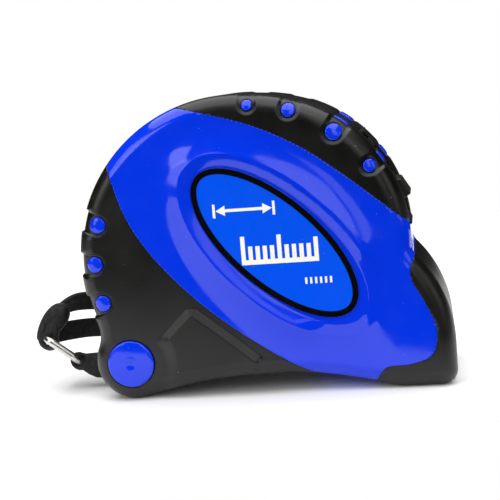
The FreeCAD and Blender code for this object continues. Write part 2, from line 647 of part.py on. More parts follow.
def blade_section(x, sag):
    """Closed section of the blade across Y, curved up at its edges."""
    half = size("blade_width") / 2.0
    top = size("blade_z")
    low = top - size("blade_thick")
    upper = Part.Arc(Vector(x, -half, top + sag), Vector(x, 0, top), Vector(x, half, top + sag)).toShape()
    lower = Part.Arc(Vector(x, -half, low + sag), Vector(x, 0, low), Vector(x, half, low + sag)).toShape()
    sides = [Part.LineSegment(Vector(x, y, top + sag), Vector(x, y, low + sag)).toShape() for y in (-half, half)]
    return Part.Wire([upper, sides[1], lower, sides[0]])


def make_blade():
    flat = blade_section(size("blade_tail_x"), size("blade_tail_sag"))
    curled = blade_section(size("blade_curl_x"), size("blade_sag"))
    run = size("blade_tip_x") - size("blade_curl_x")
    start = doc.addObject("Part::Feature", "blade_start")
    start.Shape = Part.makeLoft([flat, curled], True, True)
    tongue = doc.addObject("Part::Feature", "blade_tongue")
    tongue.Shape = Part.Face(curled).extrude(Vector(run, 0, 0))
    holes = []
    for index, (x, y) in enumerate(rivet_places()):
        holes.append(post(f"blade_hole_{index}", "dims.rivet_radius + dims.rivet_gap", "dims.tool_tall", x, y,
                          "dims.blade_z - dims.tool_tall / 2"))
    node(cut("blade_strip", fuse("blade_run", [start, tongue]), fuse("blade_holes", holes)), "blade_end")


def rivet_places():
    for row in range(2):
        for side in (-1, 1):
            yield size("rivet_first_x") + row * size("rivet_pitch"), side * size("rivet_side")


def make_hook():
    body = new_body("end_hook", "end_hook")
    tab_top = size("blade_z") - size("blade_thick") - size("hook_gap")
    tab_low = tab_top - size("hook_tab_thick")
    face_x = size("hook_face_x")
    sketch = body_sketch(body, "hook_tab_section", "XZ_Plane")
    tab_end = face_x + size("hook_overlap")
    add_polygon(sketch, [(size("hook_tab_x"), tab_low), (tab_end, tab_low), (tab_end, tab_top),
                         (size("hook_tab_x"), tab_top)])
    pad(body, sketch, "hook_tab", "dims.hook_tab_width", midplane=True)
    face = body_sketch(body, "hook_face_section", "XZ_Plane")
    high = tab_top + size("hook_rise")
    add_polygon(face, [(face_x, size("hook_low_z")), (face_x + size("hook_thick"), size("hook_low_z")),
                       (face_x + size("hook_thick"), high), (face_x, high)])
    pad(body, face, "hook_plate", "dims.hook_width", midplane=True)
    slots = body_sketch(body, "hook_slots", "XY_Plane", "dims.blade_z + dims.trim_over")
    reach = size("rivet_radius") + size("fit_gap")
    for x, y in rivet_places():
        first = slots.GeometryCount
        back = x - size("hook_float")
        slots.addGeometry(Part.LineSegment(Vector(back, y - reach, 0), Vector(x, y - reach, 0)))
        slots.addGeometry(Part.Arc(Vector(x, y - reach, 0), Vector(x + reach, y, 0), Vector(x, y + reach, 0)))
        slots.addGeometry(Part.LineSegment(Vector(x, y + reach, 0), Vector(back, y + reach, 0)))
        slots.addGeometry(Part.Arc(Vector(back, y + reach, 0), Vector(back - reach, y, 0),
                                   Vector(back, y - reach, 0)))
        for step in range(4):
            slots.addConstraint(Sketcher.Constraint("Coincident", first + step, 2,
                                                    first + (step + 1) % 4, 1))
    pocket(body, slots, "hook_slot_cut", "dims.tool_over")


def make_rivets():
    """Four rivets through the blade and the hook's slots."""
    rivets = []
    tab_low = "dims.blade_z - dims.blade_thick - dims.hook_gap - dims.hook_tab_thick"
    low = f"{tab_low} - dims.rivet_head_tall - dims.fit_gap"
    high = "dims.blade_z + dims.rivet_rise"
    for index, (x, y) in enumerate(rivet_places()):
        rivets.append(fuse(f"rivet_{index}", [
            post(f"rivet_shank_{index}", "dims.rivet_radius",
                 f"{high} + dims.rivet_head_tall / 2 - ({low})", x, y, low),
            post(f"rivet_foot_{index}", "dims.rivet_head", "dims.rivet_head_tall", x, y, low),
            post(f"rivet_head_{index}", "dims.rivet_head", "dims.rivet_head_tall", x, y, high)]))
    group = doc.addObject("Part::Compound", "rivet_group")
    group.Links = rivets
    node(group, "hook_rivets")


make_blade()
make_hook()
make_rivets()
guide_low_z = "dims.grip_skin + dims.wall + dims.fit_gap"
node(box("guide", "dims.guide_long", "2 * dims.guide_half", f"dims.guide_top_z - ({guide_low_z})",
         "dims.guide_x", "-dims.guide_half", guide_low_z), "mouth_guide")
node(box("bumper", "dims.bumper_long", "2 * dims.bumper_half", "dims.bumper_tall",
         "dims.guide_x + dims.guide_long + dims.fit_gap", "-dims.bumper_half", "dims.bumper_low_z"),
     "hook_bumper")


# ---------------------------------------------------------------- thumb lock

def make_lock_button():
    """Ridged thumb button with its stem, drawn along the track."""
    body = new_body("lock_button", "lock_button")
    start = size("button_start")
    end = start + size("button_long")
    low = size("track_level") + size("button_gap")
    top = low + size("button_tall")
    ledge = end - size("ledge_long")
    ledge_top = top + size("ledge_tall")
    chamfer = size("button_chamfer")
    sketch = body_sketch(body, "button_section", "XZ_Plane")
    add_polygon(sketch, [(start, low), (end, low), (end, ledge_top - chamfer), (end - chamfer, ledge_top),
                         (ledge, ledge_top), (ledge - size("ledge_slope"), top), (start + chamfer, top),
                         (start, top - chamfer)])
    pad(body, sketch, "button_pad", "2 * dims.button_half", midplane=True)
    stem = body_sketch(body, "stem_section", "XZ_Plane")
    stem_start = size("stem_start")
    stem_end = stem_start + size("stem_long")
    stem_low = size("stem_low")
    stem_top = low + size("stem_overlap")
    add_polygon(stem, [(stem_start, stem_low), (stem_end, stem_low), (stem_end, stem_top),
                       (stem_start, stem_top)])
    pad(body, stem, "stem_pad", "2 * dims.stem_half", midplane=True)
    ridges = body_sketch(body, "ridge_section", "XZ_Plane")
    first = start + size("ridge_start")
    last = first + size("ridge_cut")
    depth = top - size("ridge_depth")
    above = top + size("trim_over")
    add_polygon(ridges, [(first, depth), (last, depth), (last, above), (first, above)])
    groove = pocket(body, ridges, "ridge_groove", "2 * dims.button_half", midplane=True)
    pattern = body.newObject("PartDesign::LinearPattern", "ridge_pattern")
    pattern.Originals = [groove]
    pattern.Direction = (ridges, ["H_Axis"])
    ridges_wanted = int(size("ridge_count"))
    pattern.Length = (ridges_wanted - 1) * size("ridge_pitch")
    pattern.Occurrences = ridges_wanted
    body.Tip = pattern
    body.Placement = Placement(point(size("brow_x"), size("brow_z")),
                               Rotation(Vector(0, 1, 0), size("lock_angle")))


def make_lock_wedge():
    """Plate under the track, arm in front of the coil and wedge over the blade."""
    body = new_body("lock_wedge", "lock_wedge")
    plate_high = size("stem_low") - size("fit_gap")
    corners = [track_point(size("plate_start"), plate_high), track_point(size("plate_end"), plate_high)]
    arm_x = size("arm_x")
    arm_front = arm_x + size("arm_thick")
    wedge_x = arm_x + size("wedge_reach")
    foot = size("arm_foot_z")
    outer_end = corners[1]
    inner_end = track_point(size("plate_start"), size("plate_low"))
    inner_turn = track_point(size("plate_end") - size("plate_bend"), size("plate_low"))
    points = [
        (corners[0].x, corners[0].z), (outer_end.x, outer_end.z), (arm_front, outer_end.z - size("arm_chamfer")),
        (arm_front, foot + size("wedge_slope")), (wedge_x, foot + size("wedge_tall")), (wedge_x, foot),
        (arm_x + size("arm_toe_x"), foot), (arm_x, foot + size("arm_toe_z")),
        (arm_x, inner_turn.z), (inner_end.x, inner_end.z),
    ]
    sketch = body_sketch(body, "wedge_section", "XZ_Plane")
    add_polygon(sketch, points)
    pad(body, sketch, "wedge_pad", "2 * dims.arm_half", midplane=True)


make_lock_button()
make_lock_wedge()


# ---------------------------------------------------------------- fasteners and belt clip

def make_turned(name, label, profile):
    """Solid of revolution about Y; the profile holds (radius, y) pairs."""
    body = new_body(name, label)
    sketch = body_sketch(body, f"{name}_section", "XY_Plane")
    add_polygon(sketch, profile)
    revolve(body, sketch, f"{name}_turned")
    return body


def make_case_screws():
    """Four screws through the left half into the right half."""
    screws = []
    for index, (x, z) in enumerate(SCREW_PLACES):
        screws.append(fuse(f"case_screw_{index}", [
            rod(f"screw_shank_{index}", "dims.screw_radius",
                "dims.screw_seat_y - dims.screw_tip_y + dims.screw_overlap", x, "dims.screw_tip_y", z),
            cut(f"screw_cap_{index}",
                rod(f"screw_head_{index}", "dims.screw_head", "dims.screw_head_tall",
                    x, "dims.screw_seat_y + dims.seat_gap", z),
                box(f"screw_drive_{index}", "dims.drive_long", "dims.screw_head_tall", "dims.drive_wide",
                    f"{x} - dims.drive_long / 2", "dims.screw_seat_y + dims.drive_floor",
                    f"{z} - dims.drive_wide / 2"))]))
    group = doc.addObject("Part::Compound", "case_screw_group")
    group.Links = screws
    node(group, "case_screws")


def make_clip():
    """Spring clip: a seat screwed to the case, a bend at the top and a long tongue."""
    body = new_body("belt_clip", "belt_clip")
    seat = size("clip_seat_y")
    thick = size("clip_thick")
    reach = size("clip_reach")
    low, bend, end = size("clip_low_z"), size("clip_bend_z"), size("clip_end_z")
    far = seat + reach + thick
    middle = seat + (reach + thick) / 2.0
    radius = (reach + thick) / 2.0
    sketch = body_sketch(body, "clip_section", "YZ_Plane")
    toe = end + size("clip_toe")
    near = far - thick
    lean = size("clip_lean")
    lines = [
        ((seat, bend), (seat, low)), ((seat, low), (seat + thick, low)),
        ((seat + thick, low), (seat + thick, bend)), ((near, bend), (near - lean, toe)),
        ((near - lean, toe), (near, end)), ((near, end), (far, end)),
        ((far, end), (far - lean, toe)), ((far - lean, toe), (far, bend)),
    ]
    for start, finish in lines:
        sketch.addGeometry(Part.LineSegment(Vector(*start, 0), Vector(*finish, 0)))
    sketch.addGeometry(Part.Arc(Vector(seat + thick, bend, 0), Vector(middle, bend + radius - thick, 0),
                                Vector(near, bend, 0)))
    sketch.addGeometry(Part.Arc(Vector(far, bend, 0), Vector(middle, bend + radius, 0), Vector(seat, bend, 0)))
    pad(body, sketch, "clip_pad", "dims.clip_width", midplane=True)
    holes = body_sketch(body, "clip_hole_section", "XZ_Plane", "-dims.clip_seat_y + dims.trim_over")
    holes.addGeometry(Part.Circle(Vector(0, size("clip_screw_z"), 0), Vector(0, 0, 1),
                                  size("clip_screw_radius") + size("clip_hole_gap")))
    pocket(body, holes, "clip_hole", "dims.clip_thick + 2 * dims.trim_over")
    access = body_sketch(body, "clip_access_section", "XZ_Plane", "-dims.clip_seat_y - dims.clip_access_start")
    access.addGeometry(Part.Circle(Vector(0, size("clip_screw_z"), 0), Vector(0, 0, 1),
                                   size("clip_access_radius")))
    pocket(body, access, "clip_access", "dims.clip_access_deep")
    place(body, "dims.clip_x")


def make_clip_screw():
    """Screw through the clip's seat, with a rounded head."""
    tip = size("clip_screw_tip_y")
    seat = size("clip_seat_y") + size("clip_thick")
    shank, head = size("clip_screw_radius"), size("clip_screw_head")
    screw = make_turned("clip_screw", "clip_screw", [
        (0, tip), (shank, tip), (shank, seat + size("seat_gap")), (head, seat + size("seat_gap")),
        (head - size("clip_head_edge"), seat + size("clip_head_side")),
        (head - size("clip_head_slope"), seat + size("clip_head_tall")),
        (0, seat + size("clip_head_tall"))])
    place(screw, "dims.clip_x", "0", "dims.clip_screw_z")


make_case_screws()
make_clip()
make_clip_screw()


# ---------------------------------------------------------------- strap anchor and strap

def make_pin_and_caps():
    body = new_body("strap_pin", "strap_pin")
    sketch = body_sketch(body, "pin_section", "XZ_Plane")
    add_circle(sketch, "dims.pin_radius")
    pad(body, sketch, "pin_pad", "2 * dims.pin_half", midplane=True)
    place(body, "dims.lobe_x", "0", "dims.lobe_radius")
    seat = size("face_half") - size("grip_face_skin") + size("cap_seat_gap")
    for name, side in (("right", -1), ("left", 1)):
        cap = new_body(f"cap_{name}", f"pin_cap_{name}")
        section = body_sketch(cap, f"cap_{name}_section", "XY_Plane")
        radius = size("cap_radius")
        edge, crown = side * size("cap_edge_y"), side * size("cap_crown_y")
        rise = size("cap_crown_y") - size("cap_edge_y")
        dome = (radius ** 2 + rise ** 2) / (2.0 * rise)
        half_turn = math.asin(radius / dome) / 2.0
        middle = Vector(dome * math.sin(half_turn),
                        crown - side * dome * (1.0 - math.cos(half_turn)), 0)
        section.addGeometry(Part.LineSegment(Vector(0, crown, 0), Vector(0, side * seat, 0)))
        section.addGeometry(Part.LineSegment(Vector(0, side * seat, 0), Vector(radius, side * seat, 0)))
        section.addGeometry(Part.LineSegment(Vector(radius, side * seat, 0), Vector(radius, edge, 0)))
        section.addGeometry(Part.Arc(Vector(radius, edge, 0), middle, Vector(0, crown, 0)))
        revolve(cap, section, f"cap_{name}_turned")
        place(cap, "dims.lobe_x", "0", "dims.lobe_radius")


def band(name, start, end, thick, half):
    """Straight flat band between two points of the XZ plane, |y| up to half."""
    along = end.sub(start)
    feature = doc.addObject("Part::Box", name)
    bind(feature, Length=along.Length, Width=2 * half, Height=thick)
    tilt = math.degrees(math.atan2(along.z, along.x))
    side = Rotation(Vector(0, 1, 0), -tilt)
    corner = start + side.multVec(Vector(0, 0, -thick / 2.0))
    feature.Placement = Placement(Vector(corner.x, start.y - half, corner.z), side)
    return feature


def rod_between(name, centre, axis, radius, half):
    """Part::Cylinder about a centre, along any axis."""
    feature = doc.addObject("Part::Cylinder", name)
    bind(feature, Radius=radius, Height=2 * half)
    unit = Vector(axis).normalize()
    feature.Placement = Placement(centre - unit * half, Rotation(Vector(0, 0, 1), unit))
    return feature


def make_tab():
    """Webbing tab: one fold round the strap pin, the other round the link."""
    pin = point(size("lobe_x"), size("lobe_radius"))
    end = point(size("tab_end_x"), size("tab_end_z"))
    half = size("tab_half")
    past = half + size("trim_over")
    body = fuse("tab_body", [
        rod_between("tab_pin_fold", pin, Vector(0, 1, 0), size("pin_radius") + size("tab_pin_fold"), half),
        band("tab_band", pin, end, size("tab_thick"), half),
        rod_between("tab_link_fold", end, FOLD_AXIS, size("wire_radius") + size("tab_link_fold"), half)])
    bores = fuse("tab_bores", [
        rod_between("tab_pin_bore", pin, Vector(0, 1, 0), size("pin_radius") + size("tab_pin_gap"), past),
        rod_between("tab_link_bore", end, FOLD_AXIS, size("wire_radius") + size("wire_gap"), past)])
    node(cut("strap_tab", body, bores), "strap_tab")


def make_link():
    """Closed wire link: a rounded rectangle of round wire between the two folds."""
    start = point(size("tab_end_x"), size("tab_end_z"))
    end = point(size("link_end_x"), size("link_end_z"))
    along = end.sub(start).normalize()
    across = Vector(FOLD_AXIS)
    across = (across - along * across.dot(along)).normalize()
    long_half = end.sub(start).Length / 2.0
    wide_half = size("link_wide") / 2.0
    corner = size("link_corner")
    middle = start.add(end).multiply(0.5)

    def spot(u, v):
        return middle + along * u + across * v

    edges = []
    diagonal = corner * (1.0 - math.sqrt(0.5))
    for u, v in ((1, 1), (-1, 1), (-1, -1), (1, -1)):
        near_wide = spot(u * long_half, v * (wide_half - corner))
        turn = spot(u * (long_half - diagonal), v * (wide_half - diagonal))
        near_long = spot(u * (long_half - corner), v * wide_half)
        edges.append(Part.Arc(near_wide, turn, near_long).toShape())
    for v in (1, -1):
        edges.append(Part.LineSegment(spot(long_half - corner, v * wide_half),
                                      spot(corner - long_half, v * wide_half)).toShape())
    for u in (1, -1):
        edges.append(Part.LineSegment(spot(u * long_half, wide_half - corner),
                                      spot(u * long_half, corner - wide_half)).toShape())
    path = Part.Wire(Part.__sortEdges__(edges))
    first = path.OrderedEdges[0]
    base = first.valueAt(first.FirstParameter)
    section = Part.Wire(Part.Circle(base, first.tangentAt(first.FirstParameter), size("wire_radius")).toShape())
    sweep = path.makePipeShell([section], True, True, 1)
    feature = doc.addObject("Part::Feature", "link_wire")
    feature.Shape = sweep
    node(feature, "strap_link")


def make_sewn_end():
    """Sewn end of the strap: a fold round the link, and a stitched block where both strands start."""
    fold = point(size("link_end_x"), size("link_end_z"))
    half = size("strap_width") / 2.0
    top = Vector(STRAP_ROUTE[0][0], 0, STRAP_ROUTE[0][2] + half)
    side = STRAP_ROUTE[0][1]
    block = doc.addObject("Part::Box", "sewn_block")
    low_z = STRAP_ROUTE[-1][2] - half
    bind(block, Length=size("strap_width") + size("sewn_over"), Width=half + side - size("sewn_end_gap"),
         Height=top.z - low_z)
    block.Placement = Placement(Vector(top.x - half - size("sewn_shift"), -half, low_z), Rotation())
    bore = rod_between("sewn_bore", fold, FOLD_AXIS, size("wire_radius") + size("wire_gap"),
                       half + size("trim_over"))
    body = fuse("sewn_body", [
        rod_between("sewn_fold", fold, FOLD_AXIS, size("wire_radius") + size("sewn_fold"), half), block])
    node(cut("sewn_end", body, bore), "strap_sewn_end")


CORNER_SHARE = 0.45     # of the shorter run next to a corner, taken up by the arc there


def cord_path(route):
    """Straight runs joined by tangent arcs, each as large as its two runs allow."""
    points = [Vector(*item) for item in route]
    edges = []
    radii = []
    start = points[0]
    for before, corner, after in zip(points, points[1:], points[2:]):
        into = corner.sub(before)
        out = after.sub(corner)
        turn = into.getAngle(out)
        trim = CORNER_SHARE * min(into.Length, out.Length)
        radii.append(trim / math.tan(turn / 2.0))
        into.normalize()
        out.normalize()
        first = corner - into * trim
        last = corner + out * trim
        bisector = out.sub(into).normalize()
        middle = corner + bisector * (radii[-1] / math.cos(turn / 2.0) - radii[-1])
        edges.append(Part.LineSegment(start, first).toShape())
        edges.append(Part.Arc(first, middle, last).toShape())
        start = last
    edges.append(Part.LineSegment(start, points[-1]).toShape())
    return Part.Wire(edges), radii


def make_strap():
    """Wrist strap loop as a plain tube as wide as its webbing."""
    path, radii = cord_path(STRAP_ROUTE)
    radius = size("strap_width") / 2.0
    first = path.Edges[0]
    start = first.valueAt(first.FirstParameter)
    section = Part.Wire(Part.Circle(start, first.tangentAt(first.FirstParameter), radius).toShape())
    feature = doc.addObject("Part::Feature", "strap_tube")
    feature.Shape = path.makePipeShell([section], True, False, 1)
    node(feature, "wrist_strap")
    expected = math.pi * radius ** 2 * path.Length
    print("strap: length %.1f, volume share %.3f" % (path.Length, feature.Shape.Volume / expected))
    print("strap radii:", " ".join("%.0f" % item for item in radii))


make_pin_and_caps()
make_tab()
make_link()
make_sewn_end()
make_strap()

# ---------------------------------------------------------------- checks and export

doc.recompute()
for item in doc.Objects:
    if {"Invalid", "Error"} & set(item.State):
        raise RuntimeError(f"{item.Name} failed: {item.State}")
os.makedirs("parts", exist_ok=True)
for item in nodes:
    shape = item.Shape
    if shape.isNull() or not shape.isValid() or not shape.Solids:
        raise RuntimeError(f"{item.Label} has no valid solid")
    shape.exportStep(f"parts/{item.Label}.step")
    bounds = shape.BoundBox
    print("%-20s solids %d volume %9.1f  x %6.1f %6.1f  y %6.1f %6.1f  z %6.1f %6.1f" % (
        item.Label, len(shape.Solids), shape.Volume, bounds.XMin, bounds.XMax,
        bounds.YMin, bounds.YMax, bounds.ZMin, bounds.ZMax))
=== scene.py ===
import math

import bmesh
import bpy
import numpy as np
from mathutils import Matrix, Vector
from mathutils.geometry import delaunay_2d_cdt


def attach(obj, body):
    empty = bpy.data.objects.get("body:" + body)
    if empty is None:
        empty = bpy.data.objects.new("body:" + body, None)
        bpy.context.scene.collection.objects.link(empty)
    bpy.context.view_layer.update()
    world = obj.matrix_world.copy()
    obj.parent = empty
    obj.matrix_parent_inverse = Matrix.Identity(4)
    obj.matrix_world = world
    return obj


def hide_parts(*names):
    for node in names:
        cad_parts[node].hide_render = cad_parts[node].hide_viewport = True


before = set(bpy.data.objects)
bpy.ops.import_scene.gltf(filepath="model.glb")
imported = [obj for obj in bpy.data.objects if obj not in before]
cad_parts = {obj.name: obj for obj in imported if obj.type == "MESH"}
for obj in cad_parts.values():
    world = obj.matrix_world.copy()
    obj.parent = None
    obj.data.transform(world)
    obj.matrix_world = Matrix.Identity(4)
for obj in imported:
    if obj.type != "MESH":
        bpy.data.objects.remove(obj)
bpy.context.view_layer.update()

# Lengths below are in millimetres, in the frame of the CAD model, and MM turns them into metres.
MM = 0.001

# ------------------------------------------------------------------ driving sizes

FACE = 17.0             # half width over the rubber
SHOULDER = 4.0          # radius between the side faces and the perimeter
SEAM = 0.3              # radius at the edges of each moulding, where two colours meet
RUBBER_THICK = 1.0
SHELL_THICK = 1.9
PARTING = 0.06          # half of the line between the two halves of the case

BACK = (-5.5, 32.6, 38.5)       # outline arcs as x, z, radius
BROW = (-0.8, 34.6, 35.9)
CHIN = (13.5, 10.2, 30.4)
LOBE = (-33.2, 9.2, 9.2)
CROWN_RADIUS = 60.0
NECK_RADIUS = 4.0
WAIST_RADIUS = 8.0
TOE_RADIUS = 3.7
HEEL_RADIUS = 15.0
ARCH_RADIUS = 105.0
ARCH_HEIGHT = 4.7

LABEL = np.array([3.7, 36.4])
LABEL_TILT = math.radians(44.0)
LABEL_LONG = 23.9
LABEL_SHORT = 10.65
LABEL_TOP = 18.25
LABEL_RIM = 1.4
RECESS_SHIFT = (1.25, 0.25)     # the recess runs past the label at its front end
RECESS_LONG = 25.3
RECESS_SHORT = 11.1
RECESS_FLOOR = 17.9
RING_EDGE = 1.0                 # height of the ring over the face at the recess and at its crest
RING_CREST = 1.85
RING_INNER = 3.0                # width of its slope towards the label, and of its slope away from it
RING_OUTER = 7.6
RING_FLAT = (15.0, 10.0)        # the ring sinks to the face from here along the label, over this length
RING_SINK = 0.85                # how much of it sinks
RECESS_WALL = 0.3               # width of the recess's sloping side, and of the left side's raised oval
BOSS_SLOPE = 3.5

PIPS = [(BACK, 162.5, 4.1, 1.95), (BACK, 178.4, 4.1, 1.95), (BACK, 194.3, 4.1, 1.95),
        (BROW, 89.4, 2.15, 1.25), (BROW, 72.9, 2.5, 1.6), (BROW, 52.9, 3.1, 1.9), (BROW, 33.1, 3.1, 1.5)]
SLOT_MARGIN = 0.65
SLOT_DEPTH = 0.5
SLOT_WALL = 0.5         # width of the slot's sloping side, at the back and along the brow
SLOT_WALL_BROW = 1.2
NOTCH_DEPTH = 0.5
NOTCH_DEPTH_BROW = 0.22

CAP_RADIUS = 5.6
CAP_CROWN = 17.9
SCREWS = [(-29.5, 55.5), (19.5, 58.0), (36.3, 21.0), (-22.0, 9.5)]
SCREW_HOLE = 2.9

LOCK_ANGLE = math.radians(59.0)
TRACK_LEVEL = 32.6
TRACK_HALF = 6.4
TRACK_START = -8.0
NOTCH_X = 41.8
NOTCH_HALF = 11.6
MOUTH_LOW = 6.7
MOUTH_TOP = 12.6
MOUTH_HALF = 13.2

ZONES = {
    "rear": ([(-38.5, 66.0), (-34.8, 56.0), (-31.4, 44.6), (-25.9, 35.0), (-14.8, 22.6), (0.7, 10.5),
              (14.0, 2.6), (20.0, -1.0)],
             [(20.0, -10.0), (-60.0, -10.0), (-60.0, 66.0)]),
    "top": ([(-24.0, 70.5), (-11.4, 67.4), (0.8, 63.4), (11.1, 58.0), (19.9, 51.5), (31.1, 42.0), (40.0, 34.4)],
            [(60.0, 34.4), (60.0, 80.0), (-24.0, 80.0)]),
    "front": ([(38.0, 33.6), (35.3, 30.6), (34.3, 26.6), (37.0, 20.6), (39.5, 14.0), (38.2, 7.8), (33.0, 5.8),
               (27.4, 5.2), (24.8, 1.6), (23.6, -2.0)],
              [(23.6, -10.0), (60.0, -10.0), (60.0, 33.6)]),
}

CHEVRON = [(-25.2, 14.2), (-18.2, 20.9), (-16.8, 21.0), (-9.6, 15.1), (-2.5, 9.0)]
CHEVRON_RISE = 1.05
CHEVRON_WIDTH = 1.9
CHEVRON_FADE = (6.0, 8.0)       # the raised triangle runs out before this x, over this width
CHEVRON_CAP = (8.2, 3.5)        # and it starts this far from the pin, over this width
PINHOLE = (-2.9, 6.4)
PINHOLE_RADIUS = 0.45
PINHOLE_DEPTH = 0.35

# Wrist strap: control points of its middle line, the same route as the CAD tube's.
STRAP_ROUTE = [
    (-56.6, 3.2, 19.3), (-55.2, 8.8, 20.2), (-51.8, 15.6, 19.6), (-46.0, 22.5, 17.6),
    (-37.0, 27.2, 13.4), (-26.5, 29.2, 8.4), (-15.0, 29.6, 4.4), (-3.0, 29.3, 2.7),
    (8.5, 29.0, 2.6), (19.5, 29.9, 2.6), (28.8, 33.2, 2.6), (34.8, 39.6, 2.6),
    (37.0, 48.0, 2.6), (34.8, 56.4, 2.6), (28.6, 62.6, 2.6), (19.6, 65.2, 2.6),
    (8.5, 64.2, 2.6), (-3.0, 60.8, 2.6), (-14.0, 55.6, 2.8), (-24.5, 48.8, 3.8),
    (-34.0, 40.6, 5.8), (-42.3, 31.4, 8.2), (-48.6, 21.8, 10.8), (-53.4, 12.4, 12.8),
    (-56.8, 3.2, 13.7),
]
STRAP_WIDTH = 5.0
STRAP_THICK = 1.5
FOLD_AXIS = Vector((-0.2100, 0.9382, -0.2752)).normalized()


# ------------------------------------------------------------------ materials

class Recipe:
    """A Principled material, and short ways to add procedural detail to it in object space."""

    def __init__(self, name, colour, roughness, **sockets):
        self.material = bpy.data.materials.new(name)
        self.material.use_nodes = True
        self.tree = self.material.node_tree
        self.shader = self.tree.nodes["Principled BSDF"]
        self.colour = (*colour, 1.0)
        self.shader.inputs["Base Color"].default_value = self.colour
        self.shader.inputs["Roughness"].default_value = roughness
        for key, value in sockets.items():
            self.shader.inputs[key.replace("_", " ")].default_value = value
        self.place = self.tree.nodes.new("ShaderNodeTexCoord").outputs["Object"]

    def link(self, source, target):
        self.tree.links.new(source, target)

    def stretched(self, scale):
        mapping = self.tree.nodes.new("ShaderNodeMapping")
        mapping.inputs["Scale"].default_value = scale
        self.link(self.place, mapping.inputs["Vector"])
        return mapping.outputs["Vector"]

    def noise(self, scale, detail=3.0, vector=None):
        texture = self.tree.nodes.new("ShaderNodeTexNoise")
        texture.inputs["Scale"].default_value = scale
        texture.inputs["Detail"].default_value = detail
        self.link(vector or self.place, texture.inputs["Vector"])
        return texture.outputs["Fac"]

    def remap(self, value, low, high, out_low, out_high):
        node = self.tree.nodes.new("ShaderNodeMapRange")
        for key, number in (("From Min", low), ("From Max", high), ("To Min", out_low), ("To Max", out_high)):
            node.inputs[key].default_value = number
        self.link(value, node.inputs["Value"])
        return node.outputs["Result"]

    def bump(self, height, strength, distance):
        node = self.tree.nodes.new("ShaderNodeBump")
        node.inputs["Strength"].default_value = strength
        node.inputs["Distance"].default_value = distance
        previous = self.shader.inputs["Normal"].links
        if previous:
            self.link(previous[0].from_socket, node.inputs["Normal"])
        self.link(height, node.inputs["Height"])
        self.link(node.outputs["Normal"], self.shader.inputs["Normal"])

    def rough(self, value, low, high):
        self.link(self.remap(value, 0.35, 0.65, low, high), self.shader.inputs["Roughness"])

    def mix_colour(self, factor, other):
        node = self.tree.nodes.new("ShaderNodeMix")
        node.data_type = "RGBA"
        node.inputs[6].default_value = self.colour
        node.inputs[7].default_value = (*other, 1.0)
        previous = self.shader.inputs["Base Color"].links
        if previous:
            self.link(previous[0].from_socket, node.inputs[6])
        self.link(factor, node.inputs[0])
        self.link(node.outputs[2], self.shader.inputs["Base Color"])

    def specks(self, scale, size, other):
        """Sparse dust: small spots about the points of a cellular pattern, kept where a noise is high."""
        cells = self.tree.nodes.new("ShaderNodeTexVoronoi")
        cells.inputs["Scale"].default_value = scale
        self.link(self.place, cells.inputs["Vector"])
        spots = self.remap(cells.outputs["Distance"], size * 0.6, size, 1.0, 0.0)
        patches = self.remap(self.noise(scale * 0.35, 1.0), 0.6, 0.68, 0.0, 0.85)
        both = self.tree.nodes.new("ShaderNodeMath")
        both.operation = "MULTIPLY"
        self.link(spots, both.inputs[0])
        self.link(patches, both.inputs[1])
        self.mix_colour(both.outputs[0], other)


def glossy_blue(name, colour):
    recipe = Recipe(name, colour, 0.1, IOR=1.5)
    recipe.rough(recipe.noise(180.0), 0.05, 0.13)
    recipe.bump(recipe.noise(260.0, 1.0), 0.06, 0.0002)
    recipe.bump(recipe.noise(900.0, 2.0, recipe.stretched((1.0, 1.0, 9.0))), 0.015, 0.0001)
    recipe.specks(900.0, 0.07, (0.35, 0.45, 0.95))
    return recipe.material


def moulded_rubber():
    recipe = Recipe("rubber_black", (0.0018, 0.0018, 0.0012), 0.3, IOR=1.5)
    recipe.rough(recipe.noise(90.0, 4.0), 0.30, 0.40)
    recipe.mix_colour(recipe.remap(recipe.noise(45.0, 5.0), 0.5, 0.75, 0.0, 1.0), (0.006, 0.005, 0.002))
    recipe.bump(recipe.noise(2600.0, 4.0), 0.12, 0.00006)
    recipe.bump(recipe.noise(160.0, 2.0), 0.05, 0.0003)
    recipe.specks(650.0, 0.10, (0.22, 0.22, 0.2))
    return recipe.material


def moulded_nylon(name, colour, roughness):
    recipe = Recipe(name, colour, roughness, IOR=1.5)
    recipe.rough(recipe.noise(140.0), roughness - 0.08, roughness + 0.08)
    recipe.bump(recipe.noise(1800.0, 3.0), 0.1, 0.00005)
    return recipe.material


def brushed_metal(name, colour, roughness, stretch):
    recipe = Recipe(name, colour, roughness, Metallic=1.0)
    grain = recipe.noise(500.0, 4.0, recipe.stretched(stretch))
    recipe.rough(grain, roughness - 0.08, roughness + 0.1)
    recipe.bump(grain, 0.08, 0.00005)
    recipe.mix_colour(recipe.remap(recipe.noise(60.0), 0.4, 0.7, 0.0, 0.5), tuple(0.75 * c for c in colour))
    return recipe.material


def lacquered_yellow():
    recipe = Recipe("blade_lacquer", (0.86, 0.62, 0.03), 0.3, IOR=1.5)
    recipe.rough(recipe.noise(220.0), 0.22, 0.38)
    recipe.mix_colour(recipe.remap(recipe.noise(120.0, 4.0), 0.55, 0.75, 0.0, 0.6), (0.6, 0.42, 0.03))
    recipe.bump(recipe.noise(700.0, 2.0, recipe.stretched((0.2, 4.0, 1.0))), 0.05, 0.00005)
    return recipe.material


def printed(name, colour):
    recipe = Recipe(name, colour, 0.15, IOR=1.5)
    recipe.rough(recipe.noise(400.0), 0.08, 0.16)
    recipe.bump(recipe.noise(1500.0), 0.05, 0.00003)
    return recipe.material


